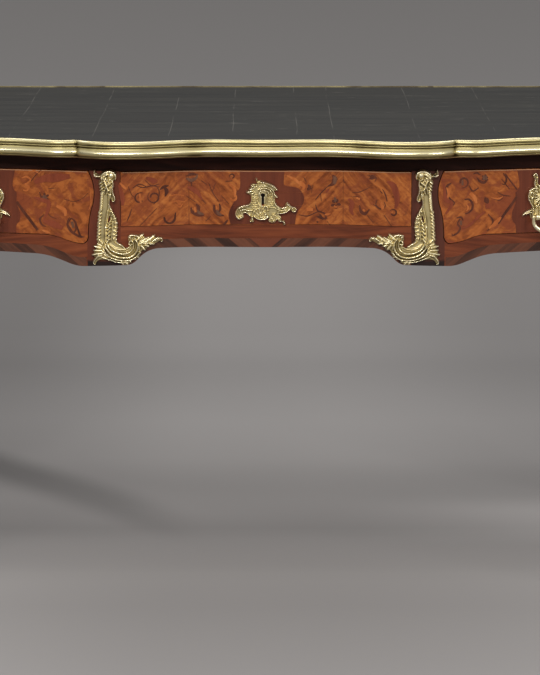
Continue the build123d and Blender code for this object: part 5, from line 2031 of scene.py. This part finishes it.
# the greys are painted light and shade along the depth; the dark one at 0.2 m is painted shadow under the
# table
floor_tones = (                   # distance back and grey
    (-0.6, 0.285), (-0.28, 0.293), (-0.1, 0.33), (0.2, 0.183), (0.75, 0.295), (1.1, 0.3),
    (1.7, 0.243), (2.1, 0.245), (3.1, 0.3), (8.0, 0.255), (12.0, 0.238),
)
floor_edge_tone = 0.262
floor_grey = Finish("floor_paper", Roughness=0.9, Specular_IOR_Level=0.1)
x, y, z = floor_grey.split(floor_grey.where)
stops = [((place - ramp_start) / ramp_length, tuple(tone * warmth)) for place, tone in floor_tones]
tone = floor_grey.ramp((y - ramp_start) / ramp_length, *stops)
aside = floor_grey.between(abs(x), 1.3, 3.0)
tone = floor_grey.mix(aside, tone, tuple(floor_edge_tone * warmth))
# masks for painted shade and light: darker behind at the sides, lighter at the front sides, a mixed band
left, right = floor_grey.between(x, -0.12, -0.64), floor_grey.between(x, 0.08, 0.64)
far = floor_grey.between(y, 0.25, 0.7) * floor_grey.between(y, 6.0, 3.0)
near = floor_grey.between(y, 0.05, -0.2)
middle = floor_grey.between(abs(y - 0.28), 0.2, 0.05)
# slant is a painted shadow of a leg, slanting across the floor on the left
slant = floor_grey.between(abs(y + 1.2 * x - 0.06), 0.17, 0.02) * floor_grey.between(x, -0.1, -0.3)
shade = 1.0 - (left * 0.33 + right * 0.2) * far + (left * 0.17 + right * 0.09) * near
shade = shade + (right * 0.3 - left * 0.1) * middle - slant * 0.27
floor_grey.set(Base_Color=tone * floor_grey.between(aside, 1.0, 0.0) * (shade - 1.0) + tone)
floor_mesh = bpy.data.meshes.new("floor")
cuts = np.linspace(-floor_half, floor_half, floor_lines)
floor_points = [(a, b, 0.0) for b in cuts for a in cuts]
floor_mesh.from_pydata(floor_points, [], grid_faces(floor_lines, floor_lines))
floor_mesh.materials.append(floor_grey.material)
floor = bpy.data.objects.new("floor", floor_mesh)
scene.collection.objects.link(floor)
print("floor:", 2 * floor_half, "m wide,", len(floor_tones), "tones")

# %% [markdown]
# ## The lights
# A large soft key from the upper left, a weaker fill and a long strip overhead give the bronze bright
# edges and the leather its sheen. The sky is only a gradient that the metal reflects.
# %% Lights


def add_light(name, place, aim, size, power, colour=(1, 1, 1), size_y=None):
    lamp = bpy.data.lights.new(name, "AREA")
    lamp.energy = power
    lamp.color = colour
    lamp.size = size
    if size_y:
        lamp.shape = "RECTANGLE"
        lamp.size_y = size_y
    light = bpy.data.objects.new(name, lamp)
    light.location = place
    light.rotation_euler = (Vector(aim) - Vector(place)).to_track_quat("-Z", "Y").to_euler()
    scene.collection.objects.link(light)


add_light("key", (-0.9, -3.7, 3.1), (0, -0.2, 0.6), 3.2, 118, size_y=0.5)
add_light("fill", (3.2, -3.4, 2.4), (0, -0.2, 0.6), 1.6, 60)
add_light("strip", (0.0, 1.6, 3.2), (0, 0.0, 0.7), 4.0, 40, size_y=0.8)

sky_greys = ((0.0, 0.10), (0.8, 0.75))       # height and grey
world = bpy.data.worlds.new("sky")
scene.world = world
world.use_nodes = True
tree = world.node_tree
sky = tree.nodes["Background"]
gradient = tree.nodes.new("ShaderNodeTexCoord")
separate = tree.nodes.new("ShaderNodeSeparateXYZ")
ramp = tree.nodes.new("ShaderNodeValToRGB")
for element, (height, grey) in zip(ramp.color_ramp.elements, sky_greys):
    element.position = height
    element.color = (grey, grey, grey, 1)
tree.links.new(gradient.outputs["Generated"], separate.inputs[0])
tree.links.new(separate.outputs[2], ramp.inputs[0])
tree.links.new(ramp.outputs[0], sky.inputs["Color"])
sky.inputs["Strength"].default_value = 1.0

# %% [markdown]
# ## The end
# The last line prints how many new pieces there are.
# %% Pieces
print("new pieces:", len(made))
